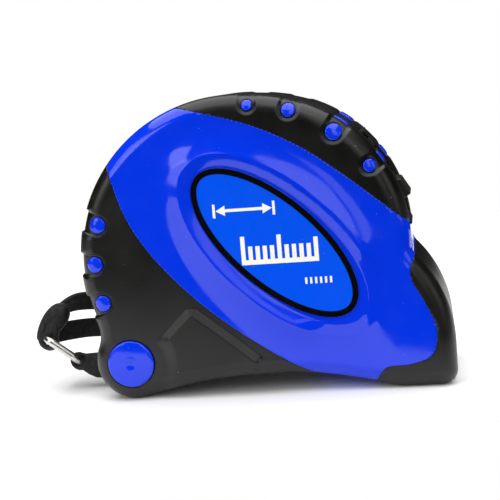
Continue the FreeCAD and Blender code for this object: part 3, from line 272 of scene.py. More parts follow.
def woven_nylon():
    recipe = Recipe("webbing_black", (0.002, 0.002, 0.002), 0.7, Sheen_Weight=0.02, Sheen_Roughness=0.4)
    recipe.rough(recipe.noise(900.0, 4.0), 0.6, 0.85)
    recipe.mix_colour(recipe.remap(recipe.noise(500.0, 5.0), 0.45, 0.75, 0.0, 1.0), (0.007, 0.007, 0.006))
    recipe.bump(recipe.noise(3500.0, 5.0), 0.5, 0.00012)
    return recipe.material


BLUE = glossy_blue("plastic_blue", (0.0005, 0.030, 0.66))
LABEL_BLUE = glossy_blue("label_blue", (0.0005, 0.076, 0.76))
RUBBER = moulded_rubber()
BLACK_NYLON = moulded_nylon("nylon_black", (0.012, 0.012, 0.010), 0.42)
WHITE_NYLON = moulded_nylon("nylon_natural", (0.72, 0.69, 0.60), 0.45)
STEEL = brushed_metal("steel_bright", (0.62, 0.61, 0.58), 0.26, (1.0, 6.0, 0.3))
CLIP_STEEL = brushed_metal("steel_clip", (0.60, 0.60, 0.59), 0.3, (1.6, 1.0, 0.5))
SPRING_STEEL = brushed_metal("steel_spring", (0.24, 0.26, 0.32), 0.34, (1.0, 0.2, 1.0))
YELLOW = lacquered_yellow()
PRINT_BLACK = printed("print_black", (0.002, 0.002, 0.002))
PRINT_CREAM = printed("print_cream", (0.86, 0.84, 0.76))
WEBBING = woven_nylon()


# ------------------------------------------------------------------ pieces

def finish_piece(obj, material, body, nodes=()):
    """Give a piece its material, the CAD body it moves with and the CAD nodes it stands for."""
    obj.data.materials.clear()
    obj.data.materials.append(material)
    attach(obj, body)
    if nodes:
        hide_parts(*nodes)
    return obj


def new_object(name, vertices, faces, smooth=True):
    """Mesh object from vertices in millimetres."""
    mesh = bpy.data.meshes.new(name)
    mesh.from_pydata([Vector(v) * MM for v in vertices], [], [tuple(f) for f in faces])
    mesh.polygons.foreach_set("use_smooth", [smooth] * len(mesh.polygons))
    mesh.update()
    obj = bpy.data.objects.new(name, mesh)
    bpy.context.scene.collection.objects.link(obj)
    return obj


def solid(name, vertices, faces, smooth=True):
    """Mesh object whose closed shells have their faces turned out."""
    obj = new_object(name, vertices, faces, smooth)
    work = bmesh.new()
    work.from_mesh(obj.data)
    bmesh.ops.recalc_face_normals(work, faces=work.faces)
    work.to_mesh(obj.data)
    work.free()
    return obj


def following(ring):
    """What comes after each item of a closed ring."""
    return ring[1:] + ring[:1]


def band(low, high):
    """Faces between two rings of vertex numbers."""
    return list(zip(low, following(low), following(high), high))


def numbered(rows, count):
    """Rings of vertex numbers, for vertices stored one ring after another."""
    return [list(range(row * count, (row + 1) * count)) for row in range(rows)]


def skin(rings, cyclic=False):
    """Faces over rings of vertex numbers: closed on themselves, or with a flat face at both ends."""
    upper = following(rings) if cyclic else rings[1:]
    faces = [face for low, high in zip(rings, upper) for face in band(low, high)]
    if not cyclic:
        faces += [tuple(reversed(rings[0])), tuple(rings[-1])]
    return faces


def both_faces(columns):
    """Round a flat section: 1 or -1 for the face, and the place across it from -1 to 1."""
    across = [-1.0 + 2.0 * step / columns for step in range(columns + 1)]
    return [(1.0, u) for u in across] + [(-1.0, u) for u in reversed(across)]


def lengths(vectors):
    return np.linalg.norm(vectors, axis=1)


def unit(vectors):
    """Rows of an array, each at length one."""
    return vectors / np.maximum(lengths(vectors), 1e-9)[:, None]


def left_of(line, closed=False):
    """Unit directions a quarter turn to the left of a line's heading, at each of its points."""
    ahead = unit(np.roll(line, -1, axis=0) - np.roll(line, 1, axis=0) if closed else np.gradient(line, axis=0))
    return np.stack([-ahead[:, 1], ahead[:, 0]], axis=1)


def reach_along(points):
    """Distance along a line to each of its points."""
    return np.concatenate([[0.0], np.cumsum(lengths(np.diff(points, axis=0)))])


def read_at(points, targets):
    """Points of a line at given distances along it."""
    reach = reach_along(points)
    return np.stack([np.interp(targets, reach, column) for column in points.T], axis=1)


def bevelled(obj, width, segments=3, angle=35.0):
    """Round the sharp edges of a piece, and keep its faces flat to the eye."""
    modifier = obj.modifiers.new("round_edges", "BEVEL")
    modifier.width = width * MM
    modifier.segments = segments
    modifier.limit_method = "ANGLE"
    modifier.angle_limit = math.radians(angle)
    modifier.harden_normals = True
    return obj


def thickened(vertices, normals, faces, thick):
    """Closed solid from an open surface: a copy set back along the normals, and a rim between the two."""
    count = len(vertices)
    back = vertices - normals * thick
    all_faces = [tuple(f) for f in faces]
    all_faces += [tuple(i + count for i in reversed(f)) for f in faces]
    edges = dict.fromkeys(edge for face in faces for edge in zip(face, following(face)))
    for start, end in edges:
        if (end, start) not in edges:
            all_faces.append((end, start, start + count, end + count))
    return np.vstack([vertices, back]), np.vstack([normals, -normals]), all_faces


def shaded(name, vertices, normals, faces):
    """Object whose shading follows the given normals, which come from the surface's own formula."""
    obj = new_object(name, vertices, faces)
    obj.data.normals_split_custom_set_from_vertices([tuple(n) for n in normals])
    return obj


def lathe(name, profile, centre, axis, segments=96):
    """Solid of revolution: profile holds (radius, distance along the axis) pairs, from pole to pole."""
    axis = Vector(axis).normalized()
    side = axis.orthogonal().normalized()
    other = axis.cross(side)
    vertices, faces, rows = [], [], []
    for radius, along in profile:
        if radius < 1e-9:
            rows.append([len(vertices)])
            vertices.append(Vector(centre) + axis * along)
            continue
        rows.append(list(range(len(vertices), len(vertices) + segments)))
        for step in range(segments):
            turn = 2.0 * math.pi * step / segments
            vertices.append(Vector(centre) + axis * along
                            + (side * math.cos(turn) + other * math.sin(turn)) * radius)
    for low, high in zip(rows, rows[1:]):
        if len(low) == 1:
            faces += [(low[0], after, here) for here, after in zip(high, following(high))]
        elif len(high) == 1:
            faces += [(here, after, high[0]) for here, after in zip(low, following(low))]
        else:
            faces += band(low, high)
    return solid(name, vertices, faces)


def prism(name, outline, low_y, high_y, smooth=False):
    """Straight extrusion along Y of a closed outline of (x, z) points."""
    count = len(outline)
    vertices = [(x, low_y, z) for x, z in outline] + [(x, high_y, z) for x, z in outline]
    faces = [tuple(range(count)), tuple(range(2 * count - 1, count - 1, -1))]
    ring = list(range(count))
    faces += [(after, here, here + count, after + count) for here, after in zip(ring, following(ring))]
    return solid(name, vertices, faces, smooth)


def drilled(obj, holes):
    """Cut round holes along Y, each given as centre, radius and half length."""
    for centre, radius, half in holes:
        drill = lathe("drill", [(0.0, -half), (radius, -half), (radius, half), (0.0, half)], centre,
                      (0.0, 1.0, 0.0), 64)
        cut = obj.modifiers.new("hole", "BOOLEAN")
        cut.operation = "DIFFERENCE"
        cut.solver = "EXACT"
        cut.object = drill
        bpy.context.view_layer.update()
        seen = obj.evaluated_get(bpy.context.evaluated_depsgraph_get())
        mesh = bpy.data.meshes.new_from_object(seen)
        obj.modifiers.clear()
        obj.data = mesh
        bpy.data.objects.remove(drill)
    return obj


def joined(name, objects):
    """One object out of several."""
    for obj in objects:
        obj.select_set(True)
    bpy.context.view_layer.objects.active = objects[0]
    with bpy.context.temp_override(active_object=objects[0], selected_editable_objects=objects):
        bpy.ops.object.join()
    objects[0].name = name
    return objects[0]


# ------------------------------------------------------------------ camera, then the strap

CAMERA_AZIMUTH = math.radians(8.5)
CAMERA_ELEVATION = math.radians(8.0)
CAMERA_DISTANCE = 0.300
CAMERA_TARGET = Vector((-0.0048, 0.0, 0.0325))
CAMERA_ROLL = math.radians(-4.765)
CAMERA_LENS = 87.4


def make_camera():
    data = bpy.data.cameras.new("camera")
    data.lens = CAMERA_LENS
    data.sensor_width = 36.0
    data.clip_start = 0.01
    camera = bpy.data.objects.new("camera", data)
    bpy.context.scene.collection.objects.link(camera)
    back = Vector((math.sin(CAMERA_AZIMUTH) * math.cos(CAMERA_ELEVATION),
                   -math.cos(CAMERA_AZIMUTH) * math.cos(CAMERA_ELEVATION), math.sin(CAMERA_ELEVATION)))
    turn = (-back).to_track_quat("-Z", "Y").to_matrix().to_4x4() @ Matrix.Rotation(CAMERA_ROLL, 4, "Z")
    camera.matrix_world = Matrix.Translation(CAMERA_TARGET + back * CAMERA_DISTANCE) @ turn
    bpy.context.scene.camera = camera


def smooth_line(points):
    """Points read from the NURBS line that has the given control points, in metres."""
    curve = bpy.data.curves.new("route", "CURVE")
    curve.dimensions = "3D"
    curve.resolution_u = 16
    spline = curve.splines.new("NURBS")
    spline.points.add(len(points) - 1)
    for place, point in zip(spline.points, points):
        place.co = (*(Vector(point) * MM), 1.0)
    spline.order_u = 3
    spline.use_endpoint_u = True
    route = bpy.data.objects.new("route", curve)
    bpy.context.scene.collection.objects.link(route)
    mesh = bpy.data.meshes.new_from_object(route)
    line = [v.co.copy() for v in mesh.vertices]
    bpy.data.objects.remove(route)
    return line


def spread_evenly(line, step):
    """The same line with its points a fixed distance apart."""
    places = np.array([tuple(p) for p in line])
    length = reach_along(places)[-1]
    return read_at(places, np.linspace(0.0, length, max(2, int(round(length / step))) + 1))


WEAVE_PITCH = 0.9       # along the strap
WEAVE_RISE = 0.07
STRAP_TWIST = math.radians(40.0)
STRAP_TWIST_SHARE = 0.16        # the twist runs out over this share of the strap's length
STRAP_STEP = 0.3                # between rows of vertices
STRAP_EDGE = 1.06               # the woven edge stands this far out, as a share of the half width


def make_strap():
    """Flat woven band that stands on its edge, with the weave's ribs in its surface."""
    line = smooth_line(STRAP_ROUTE)
    places = spread_evenly(line, STRAP_STEP * MM) / MM
    count = len(places)
    tangents = unit(np.gradient(places, axis=0))
    wide = unit(np.array([0.0, 0.0, 1.0]) - tangents * tangents[:, 2:3])
    flat = np.cross(tangents, wide)
    share = np.linspace(0.0, 1.0, count)
    twist = STRAP_TWIST * np.clip(1.0 - share / STRAP_TWIST_SHARE, 0.0, 1.0) ** 2
    wide, flat = (wide * np.cos(twist)[:, None] + flat * np.sin(twist)[:, None],
                  flat * np.cos(twist)[:, None] - wide * np.sin(twist)[:, None])
    across = 10
    half_wide = STRAP_WIDTH / 2.0 - 0.1
    half_thick = STRAP_THICK / 2.0
    steps = [-1.0 + 2.0 * step / across for step in range(across + 1)]
    section = ([(u, 1.0) for u in steps] + [(STRAP_EDGE, 0.0)]
               + [(-u, -1.0) for u in steps] + [(-STRAP_EDGE, 0.0)])
    vertices = np.zeros((count, len(section), 3))
    reach = np.arange(count) * STRAP_STEP
    for index, (u, v) in enumerate(section):
        phase = 2.0 * math.pi * (reach / WEAVE_PITCH + 2.2 * abs(u))
        lift = WEAVE_RISE * np.sin(phase) * (1.0 if v else 0.4)
        edge = 1.0 - 0.25 * abs(u) ** 6
        thick = half_thick * v * edge + lift * (v if v else 0.0)
        vertices[:, index] = places + wide * (u * half_wide) + flat * thick[:, None]
    strap = solid("wrist_strap_webbing", vertices.reshape(-1, 3), skin(numbered(count, len(section))))
    finish_piece(strap, WEBBING, "strap", ["wrist_strap"])
    return strap, line


def folded_band(name, spine, half_thick, half_wide):
    """Webbing along a line of (x, z) points, as wide as half_wide either side along the fold axis."""
    points = np.array(spine)
    normal = left_of(points)
    section = both_faces(8)
    vertices = []
    for index, point in enumerate(points):
        for face, u in section:
            weave = 0.05 * math.sin(2.0 * math.pi * (index * 0.34 + 1.8 * abs(u)))
            x, z = point + normal[index] * (face * (half_thick * (1.0 - 0.2 * abs(u) ** 6) + weave))
            vertices.append(Vector((x, 0.0, z)) + FOLD_AXIS * (u * half_wide))
    return solid(name, vertices, skin(numbered(len(points), len(section))))


def loop_spine(start, eye, radius, end, steps=28):
    """From start, round an eye and back to end: the middle line of a fold of webbing, in (x, z)."""
    start, eye, end = (np.array(p, float) for p in (start, eye, end))
    away = eye - (start + end) / 2.0
    heading = math.atan2(away[1], away[0])
    arc = [eye + radius * np.array([math.cos(heading + turn), math.sin(heading + turn)])
           for turn in np.linspace(math.radians(110.0), math.radians(-110.0), steps)]
    first = [start + (arc[0] - start) * share for share in np.linspace(0.0, 0.96, 16)]
    last = [arc[-1] + (end - arc[-1]) * share for share in np.linspace(0.04, 1.0, 16)]
    return first + arc + last


def soft_loft(name, rings, spokes=28):
    """Closed lump through level, rounded-square rings, each given as centre and half widths in X and Y."""
    vertices = []
    for (x, y, z), half_x, half_y in rings:
        for step in range(spokes):
            turn = 2.0 * math.pi * step / spokes
            reach_x, reach_y = (math.copysign(abs(share) ** 0.7, share)
                                for share in (math.cos(turn), math.sin(turn)))
            vertices.append((x + half_x * reach_x, y + half_y * reach_y, z))
    lump = solid(name, vertices, skin(numbered(len(rings), spokes)))
    smoother = lump.modifiers.new("soft", "SUBSURF")
    smoother.levels = 2
    smoother.render_levels = 2
    return lump


STITCH_SINK = (0.0, -0.02, 0.0)


def stitches(name, centre, along, across, pitch, count, body):
    """A row of thread stitches, each a short rounded bar half sunk in the webbing."""
    profile = [(0.0, -0.34), (0.09, -0.30), (0.13, -0.15), (0.14, 0.0), (0.13, 0.15), (0.09, 0.30), (0.0, 0.34)]
    bars = [lathe(f"{name}_{index}", profile,
                  Vector(centre) + Vector(along) * ((index - (count - 1) / 2.0) * pitch) + Vector(STITCH_SINK),
                  across, 10)
            for index in range(count)]
    return finish_piece(joined(name, bars), WEBBING, body)


TAB_EYE = (-51.0, 6.6)
LINK_EYE = (-58.6, 12.4)
WIRE = 0.95


def make_sewn_end():
    """The strap's end: both strands laid together, stitched, and folded round the wire link."""
    spine = loop_spine((-56.2, 16.2), LINK_EYE, WIRE + 0.95, (-59.2, 16.6))
    fold = folded_band("strap_fold", spine, 0.72, 2.6)
    spreader = soft_loft("strap_block", [
        ((-59.7, -0.1, 12.6), 1.7, 2.4), ((-59.0, 0.0, 13.7), 2.5, 2.5), ((-57.9, 0.1, 15.3), 3.3, 2.6),
        ((-56.8, 0.3, 17.0), 3.7, 2.6), ((-56.0, 0.5, 18.8), 3.5, 2.6), ((-55.4, 0.7, 20.4), 2.8, 2.3),
        ((-55.1, 0.8, 21.4), 1.8, 1.6), ((-55.1, 0.8, 21.8), 0.7, 0.7)])
    finish_piece(fold, WEBBING, "strap", ["strap_sewn_end"])
    finish_piece(spreader, WEBBING, "strap")
    rows = [stitches(f"strap_stitches_{index}", (-56.8, -2.3, 15.0 + index * 3.6), (1.0, 0.0, 0.15),
                     (1.0, 0.0, 0.1), 0.95, 5, "strap")
            for index in range(2)]
    return [fold, spreader] + rows


def make_tab():
    """Webbing tab from the strap pin to the link: folded over the link, wide where it enters the case."""
    spine = loop_spine((-39.0, 8.3), TAB_EYE, WIRE + 0.75, (-39.0, 4.4))
    fold = folded_band("tab_fold", spine, 0.62, 2.7)
    finish_piece(fold, WEBBING, "tab", ["strap_tab"])
    outline = [(-40.0, 8.6), (-45.5, 8.3), (-49.6, 8.1), (-51.6, 8.0), (-50.3, 6.6), (-50.2, 5.0),
               (-48.4, 3.6), (-46.4, 2.6), (-43.8, 2.4), (-41.6, 3.3), (-40.0, 3.5)]
    filler = prism("tab_middle", outline, -2.6, 2.6)
    bevelled(filler, 0.6, 3)
    finish_piece(filler, WEBBING, "tab")
    stitches("tab_stitches", (-46.6, -2.45, 6.3), (0.0, 0.0, 1.0), (0.0, 0.0, 1.0), 0.95, 3, "tab")


make_camera()
strap, strap_line = make_strap()
strap_pieces = make_sewn_end()
make_tab()


# ------------------------------------------------------------------ outline of the case

def meeting(first, second, reach_first, reach_second, low):
    """Point at given distances from two centres: the lower one, or else the one nearer the outside."""
    first, second = np.array(first[:2]), np.array(second[:2])
    gap = second - first
    span = np.linalg.norm(gap)
    along = (reach_first ** 2 - reach_second ** 2 + span ** 2) / (2.0 * span)
    rise = math.sqrt(reach_first ** 2 - along ** 2)
    ahead = gap / span
    options = [first + ahead * along + np.array([-ahead[1], ahead[0]]) * (turn * rise) for turn in (1, -1)]
    if low:
        return min(options, key=lambda centre: centre[1])
    return max(options, key=lambda centre: abs(centre[0]))


def outline_arcs():
    """The outline's arcs in order, each as (centre, radius, whether the case bulges there)."""
    crown = meeting(BACK, BROW, CROWN_RADIUS - BACK[2], CROWN_RADIUS - BROW[2], True)
    neck = meeting(BROW, CHIN, BROW[2] + NECK_RADIUS, CHIN[2] + NECK_RADIUS, False)
    waist = meeting(BACK, LOBE, BACK[2] + WAIST_RADIUS, LOBE[2] + WAIST_RADIUS, False)
    arch_z = ARCH_HEIGHT - ARCH_RADIUS
    arch_x = LOBE[0] + math.sqrt((ARCH_RADIUS + LOBE[2]) ** 2 - (LOBE[1] - arch_z) ** 2)
    heel_x = arch_x + math.sqrt((ARCH_RADIUS + HEEL_RADIUS) ** 2 - (HEEL_RADIUS - arch_z) ** 2)
    toe_x = CHIN[0] + CHIN[2] - TOE_RADIUS
    return [(LOBE[:2], LOBE[2], True), (waist, WAIST_RADIUS, False), (BACK[:2], BACK[2], True),
            (crown, CROWN_RADIUS, True), (BROW[:2], BROW[2], True), (neck, NECK_RADIUS, False),
            (CHIN[:2], CHIN[2], True), ((toe_x, TOE_RADIUS), TOE_RADIUS, True),
            ((heel_x, HEEL_RADIUS), HEEL_RADIUS, True), ((arch_x, arch_z), ARCH_RADIUS, False)]


CHIN_ARC, TOE_ARC, HEEL_ARC = 6, 7, 8
OUTLINE_STEP = 0.28


def touch(first, second):
    """Where two neighbouring arcs meet."""
    (centre, radius, bulges), (other, other_radius, other_bulges) = first, second
    centre, other = np.array(centre), np.array(other)
    if bulges and other_bulges and other_radius > radius:
        centre, radius, other = other, other_radius, centre
    away = other - centre
    return centre + away / np.linalg.norm(away) * radius


def base_outline():
    """Points of the outline, clockwise as seen from -Y, a fixed step apart."""
    arcs = outline_arcs()
    ends = [touch(arc, after) for arc, after in zip(arcs, following(arcs))]
    starts = ends[-1:] + ends[:-1]
    front_x = CHIN[0] + CHIN[2]
    ends[CHIN_ARC] = np.array([front_x, CHIN[1]])
    starts[TOE_ARC] = np.array([front_x, TOE_RADIUS])
    ends[TOE_ARC] = np.array([arcs[TOE_ARC][0][0], 0.0])
    starts[HEEL_ARC] = np.array([arcs[HEEL_ARC][0][0], 0.0])
    points = []
    for (centre, radius, _), start, end, next_start in zip(arcs, starts, ends, following(starts)):
        first = math.atan2(*(start - centre)[::-1])
        turn = math.remainder(math.atan2(*(end - centre)[::-1]) - first, 2.0 * math.pi)
        count = max(2, int(abs(turn) * radius / OUTLINE_STEP))
        for share in np.arange(count) / count:
            angle = first + turn * share
            points.append(np.array(centre) + radius * np.array([math.cos(angle), math.sin(angle)]))
        gap = np.linalg.norm(next_start - end)
        if gap > 1e-6:
            count = max(2, int(gap / OUTLINE_STEP))
            points += [end + (next_start - end) * share for share in np.arange(count) / count]
    return np.array(points)


def smooth_step(value):
    clipped = np.clip(value, 0.0, 1.0)
    return clipped * clipped * (3.0 - 2.0 * clipped)


def pip_axes():
    """Centre, outward direction and radius of every pip."""
    for (x, z, radius), angle, inset, pip in PIPS:
        outwards = np.array([math.cos(math.radians(angle)), math.sin(math.radians(angle))])
        yield np.array([x, z]) + outwards * (radius - inset), outwards, pip


def slot_share(points, centre, outwards, pip):
    """How far points are in the slot that runs from a pip out to the perimeter, from 0 to 1."""
    away = points - centre
    along = np.maximum(away @ outwards, 0.0)
    near = lengths(away - along[:, None] * outwards)
    wall = SLOT_WALL if outwards[0] < -0.5 else SLOT_WALL_BROW
    return smooth_step((pip + SLOT_MARGIN - near) / wall + 0.5)


def notched_outline():
    """The outline with a shallow groove across the perimeter at each pip."""
    points = base_outline()
    normal = left_of(points, closed=True)
    for centre, outwards, pip in pip_axes():
        depth = NOTCH_DEPTH if outwards[0] < -0.5 else NOTCH_DEPTH_BROW
        points = points - normal * (depth * slot_share(points, centre, outwards, pip))[:, None]
    return points


def polyline_distance(points, line, closed=True):
    """Distance from each point to a line of straight stretches."""
    starts = line if closed else line[:-1]
    ends = np.roll(line, -1, axis=0) if closed else line[1:]
    span = ends - starts
    length2 = np.maximum((span ** 2).sum(axis=1), 1e-12)
    result = np.empty(len(points))
    for low in range(0, len(points), 2000):
        part = points[low:low + 2000]
        away = part[:, None, :] - starts[None]
        share = np.clip((away * span[None]).sum(axis=2) / length2[None], 0.0, 1.0)
        gap = away - share[..., None] * span[None]
        result[low:low + 2000] = np.sqrt((gap ** 2).sum(axis=2).min(axis=1))
    return result


def inside(points, polygon):
    """Whether each point is in a closed polygon."""
    x, z = points[:, 0], points[:, 1]
    result = np.zeros(len(points), bool)
    for (ax, az), (bx, bz) in zip(polygon, np.roll(polygon, -1, axis=0)):
        crosses = (az > z) != (bz > z)
        if crosses.any():
            edge_x = ax + (z - az) * (bx - ax) / (bz - az if bz != az else 1.0)
            result ^= crosses & (x < edge_x)
    return result


def through(points, step):
    """Smooth line through given points (a centripetal Catmull-Rom line)."""
    hand = [np.array(p, float) for p in points]
    hand = [2 * hand[0] - hand[1]] + hand + [2 * hand[-1] - hand[-2]]
    line = []
    for p0, p1, p2, p3 in zip(hand, hand[1:], hand[2:], hand[3:]):
        t1 = np.linalg.norm(p1 - p0) ** 0.5
        t2 = t1 + np.linalg.norm(p2 - p1) ** 0.5
        t3 = t2 + np.linalg.norm(p3 - p2) ** 0.5
        count = max(2, int(np.linalg.norm(p2 - p1) / step))
        for t in np.linspace(t1, t2, count, endpoint=False):
            a1 = p0 + (p1 - p0) * (t / t1)
            a2 = p1 + (p2 - p1) * ((t - t1) / (t2 - t1))
            a3 = p2 + (p3 - p2) * ((t - t2) / (t3 - t2))
            b1 = a1 + (a2 - a1) * (t / t2)
            b2 = a2 + (a3 - a2) * ((t - t1) / (t3 - t1))
            line.append(b1 + (b2 - b1) * ((t - t1) / (t2 - t1)))
    line.append(hand[-2])
    return np.array(line)


OUTLINE = notched_outline()
ZONE_LINES = {name: through(points, 0.5) for name, (points, _) in ZONES.items()}
ZONE_POLYGONS = {name: np.vstack([ZONE_LINES[name], np.array(far, float)]) for name, (_, far) in ZONES.items()}
LONG = np.array([math.cos(-LABEL_TILT), math.sin(-LABEL_TILT)])
SHORT = np.array([-LONG[1], LONG[0]])


def on_label(u, v):
    """Point at distances along the label's long and short axes from its middle."""
    return LABEL + LONG * u + SHORT * v


def oval(centre, long_radius, short_radius, count=200):
    turns = 2.0 * np.pi * np.arange(count) / count
    return (centre + np.cos(turns)[:, None] * LONG * long_radius
            + np.sin(turns)[:, None] * SHORT * short_radius)


RECESS_CENTRE = on_label(*RECESS_SHIFT)
RECESS = oval(RECESS_CENTRE, RECESS_LONG, RECESS_SHORT)
BOSS = oval(LABEL, 32.0, 17.0)      # the plain raised oval of the left side
LOBE_CENTRE = np.array(LOBE[:2])
BROW_CENTRE = np.array(BROW[:2])
PIP_GAP = 0.1                       # between a pip, or a pin cap, and the rubber round it
CAP_GAP = 0.15
HOLE_EDGE = 0.3                     # radius at the edge of every opening
PIP_HOLES = [(centre, pip + PIP_GAP) for centre, _, pip in pip_axes()] + [(LOBE_CENTRE, CAP_RADIUS + CAP_GAP)]
SCREW_HOLES = [(np.array(place), SCREW_HOLE) for place in SCREWS]


# ------------------------------------------------------------------ height of the side faces

def rolled(distance, radius):
    """Drop of a quarter-round edge, at a distance in from it."""
    left = np.clip(radius - np.maximum(distance, 0.012 * radius), 0.0, radius)
    return radius - np.sqrt(np.maximum(radius ** 2 - left ** 2, 0.0))


def face_base(points):
    return FACE - rolled(polyline_distance(points, OUTLINE), SHOULDER)


def zone_edge(points, names):
    """Drop beside the lines between blue plastic and rubber."""
    nearest = np.min([polyline_distance(points, ZONE_LINES[name], closed=False) for name in names], axis=0)
    return rolled(nearest, SEAM)


def circle_edge(points, circles):
    """Drop round circular openings."""
    drop = np.zeros(len(points))
    for centre, reach in circles:
        drop = np.maximum(drop, rolled(np.abs(lengths(points - centre) - reach), HOLE_EDGE))
    return drop


def chevron_rise(points):
    """The raised triangle below the crease of the rear grip."""
    line = np.array(CHEVRON, float)
    crease_z = np.interp(points[:, 0], line[:, 0], line[:, 1])
    below = np.where(points[:, 1] < crease_z, 1.0, -1.0)
    depth = polyline_distance(points, line, closed=False) * below
    share = np.clip(depth / CHEVRON_WIDTH + 0.5, -0.1, 1.1)
    foot, shoulder = (share + 0.1) ** 2 / 0.4, 1.0 - (1.1 - share) ** 2 / 0.4
    ramp = np.where(share < 0.1, foot, np.where(share > 0.9, shoulder, share))
    cap_from, cap_fade = CHEVRON_CAP
    by_cap = smooth_step((lengths(points - LOBE_CENTRE) - cap_from) / cap_fade)
    end_x, fade = CHEVRON_FADE
    return CHEVRON_RISE * ramp * by_cap * smooth_step((end_x - points[:, 0]) / fade)


def rubber_height(points, side):
    height = face_base(points) - zone_edge(points, ZONES)
    for centre, outwards, pip in pip_axes():
        height -= SLOT_DEPTH * slot_share(points, centre, outwards, pip)
    height += chevron_rise(points)
    height -= PINHOLE_DEPTH * (1.0 - smooth_step(lengths(points - np.array(PINHOLE)) / PINHOLE_RADIUS - 0.4))
    height -= circle_edge(points, PIP_HOLES)
    if side > 0:
        height -= circle_edge(points, SCREW_HOLES)
    return height


def blue_height(points, side):
    """Field between the grips: a soft ring round the recessed label, or a plain raised oval on the left."""
    height = face_base(points) - zone_edge(points, ZONES)
    if side < 0:
        outside = np.where(inside(points, RECESS), -1.0, 1.0) * polyline_distance(points, RECESS)
        inner = RING_CREST - (RING_CREST - RING_EDGE) * (1.0 - np.clip(outside / RING_INNER, 0.0, 1.0)) ** 1.25
        outer = RING_CREST * (1.0 - np.clip((outside - RING_INNER) / RING_OUTER, 0.0, 1.0)) ** 2
        ring = np.where(outside < RING_INNER, inner, outer)
        flat_from, flat_over = RING_FLAT
        sunk = smooth_step(((points - LABEL) @ LONG - flat_from) / flat_over)
        ring = ring + (RING_EDGE * np.exp(-outside / RING_INNER) - ring) * RING_SINK * sunk
        floor = RECESS_FLOOR - FACE
        ring = floor + (ring - floor) * smooth_step(outside / RECESS_WALL + 0.5)
        return height + ring
    plateau = np.where(inside(points, BOSS), 1.0, -1.0) * polyline_distance(points, BOSS)
    height += RING_CREST * smooth_step(plateau / BOSS_SLOPE + 0.5)
    return height - circle_edge(points, SCREW_HOLES)


# ------------------------------------------------------------------ meshing of a side

GRID = 0.72
EDGE_ROWS = (0.05, 0.15, 0.3, 0.55, 0.9, 1.4, 2.0, 2.6, 3.3, 4.0)
SEAM_ROWS = (0.04, 0.12, 0.22, 0.34, 0.55)
HOLE_ROWS = (0.08, 0.18, 0.32)
SLOT_ROWS = (-0.6, -0.4, -0.25, -0.1, 0.1, 0.25, 0.4, 0.6)
RECESS_ROWS = (-0.14, -0.07, 0.07, 0.14, 0.4, 0.8, RING_INNER - 0.25, RING_INNER, RING_INNER + 0.25)
CHEVRON_ROWS = [0.3] + [CHEVRON_WIDTH / 2.0 + gap for gap in (-0.2, 0.0, 0.2)]
CELL = 0.3                      # grid points keep about this far from every row


def dense(line, step):
    """The same line of straight stretches with more points."""
    points = np.array(line, float)
    return read_at(points, np.arange(0.0, reach_along(points)[-1], step))


def offset_rows(line, distances, closed, both):
    """Copies of a line set off to one or both sides."""
    left = left_of(line, closed)
    turns = (1, -1) if both else (1,)
    return [line[::2] - left[::2] * (turn * distance) for distance in distances for turn in turns]


def circle(centre, radius, count):
    turns = 2.0 * np.pi * np.arange(count) / count
    return np.array(centre) + radius * np.stack([np.cos(turns), np.sin(turns)], axis=1)


def openings(side):
    """Circular openings of one side: pips, pin cap and, on the left, the screws."""
    return PIP_HOLES + (SCREW_HOLES if side > 0 else [])


def triangulate(side):
    """Triangles over the whole side, with an edge along every line where the surface changes."""
    loops = [(OUTLINE, True)] + [(line, False) for line in ZONE_LINES.values()]
    loops += [(circle(centre, radius, 56), True) for centre, radius in openings(side)]
    rows = offset_rows(OUTLINE, EDGE_ROWS, True, False)
    for line in ZONE_LINES.values():
        rows += offset_rows(line, SEAM_ROWS, False, True)
    for centre, radius in openings(side):
        rows += [circle(centre, radius + gap, 48) for gap in HOLE_ROWS]
    for centre, outwards, pip in pip_axes():
        across = np.array([-outwards[1], outwards[0]])
        for gap in SLOT_ROWS:
            reach = pip + SLOT_MARGIN + gap
            for turn in (1, -1):
                rows.append(centre + across * (turn * reach) + outwards * np.arange(0.0, 6.0, 0.3)[:, None])
            rows.append(circle(centre, reach, 44))
    rows += [circle(PINHOLE, PINHOLE_RADIUS * share, 12) for share in (0.3, 0.7, 1.1, 1.5)]
    rows += offset_rows(dense(CHEVRON, 0.15), CHEVRON_ROWS, False, True)
    if side < 0:
        loops.append((RECESS, True))
        rows += [oval(RECESS_CENTRE, RECESS_LONG + gap, RECESS_SHORT + gap) for gap in RECESS_ROWS]
    fixed = np.vstack([line for line, _ in loops] + rows)
    low, high = OUTLINE.min(axis=0), OUTLINE.max(axis=0)
    grid = []
    for step, z in enumerate(np.arange(low[1], high[1], GRID * 0.866)):
        shift = 0.5 * GRID * (step % 2)
        xs = np.arange(low[0] + shift, high[0], GRID)
        grid.append(np.stack([xs, np.full(len(xs), z)], axis=1))
    grid = np.vstack(grid)
    cells = {(int(x), int(z)) for x, z in np.floor(fixed / CELL)}
    keep = [not any((int(x) + i, int(z) + j) in cells for i in (-1, 0, 1) for j in (-1, 0, 1))
            for x, z in np.floor(grid / CELL)]
    points = [line for line, _ in loops] + rows + [grid[keep]]
    edges = []
    start = 0
    for line, closed in loops:
        count = len(line)
        edges += [(start + i, start + i + 1) for i in range(count - 1)]
        if closed:
            edges.append((start + count - 1, start))
        start += count
    stacked = np.vstack(points)
    vertices, _, faces, *_ = delaunay_2d_cdt([Vector(p) for p in stacked], edges, [], 0, 1e-5, False)
    return np.array([tuple(v) for v in vertices]), np.array([tuple(f) for f in faces])


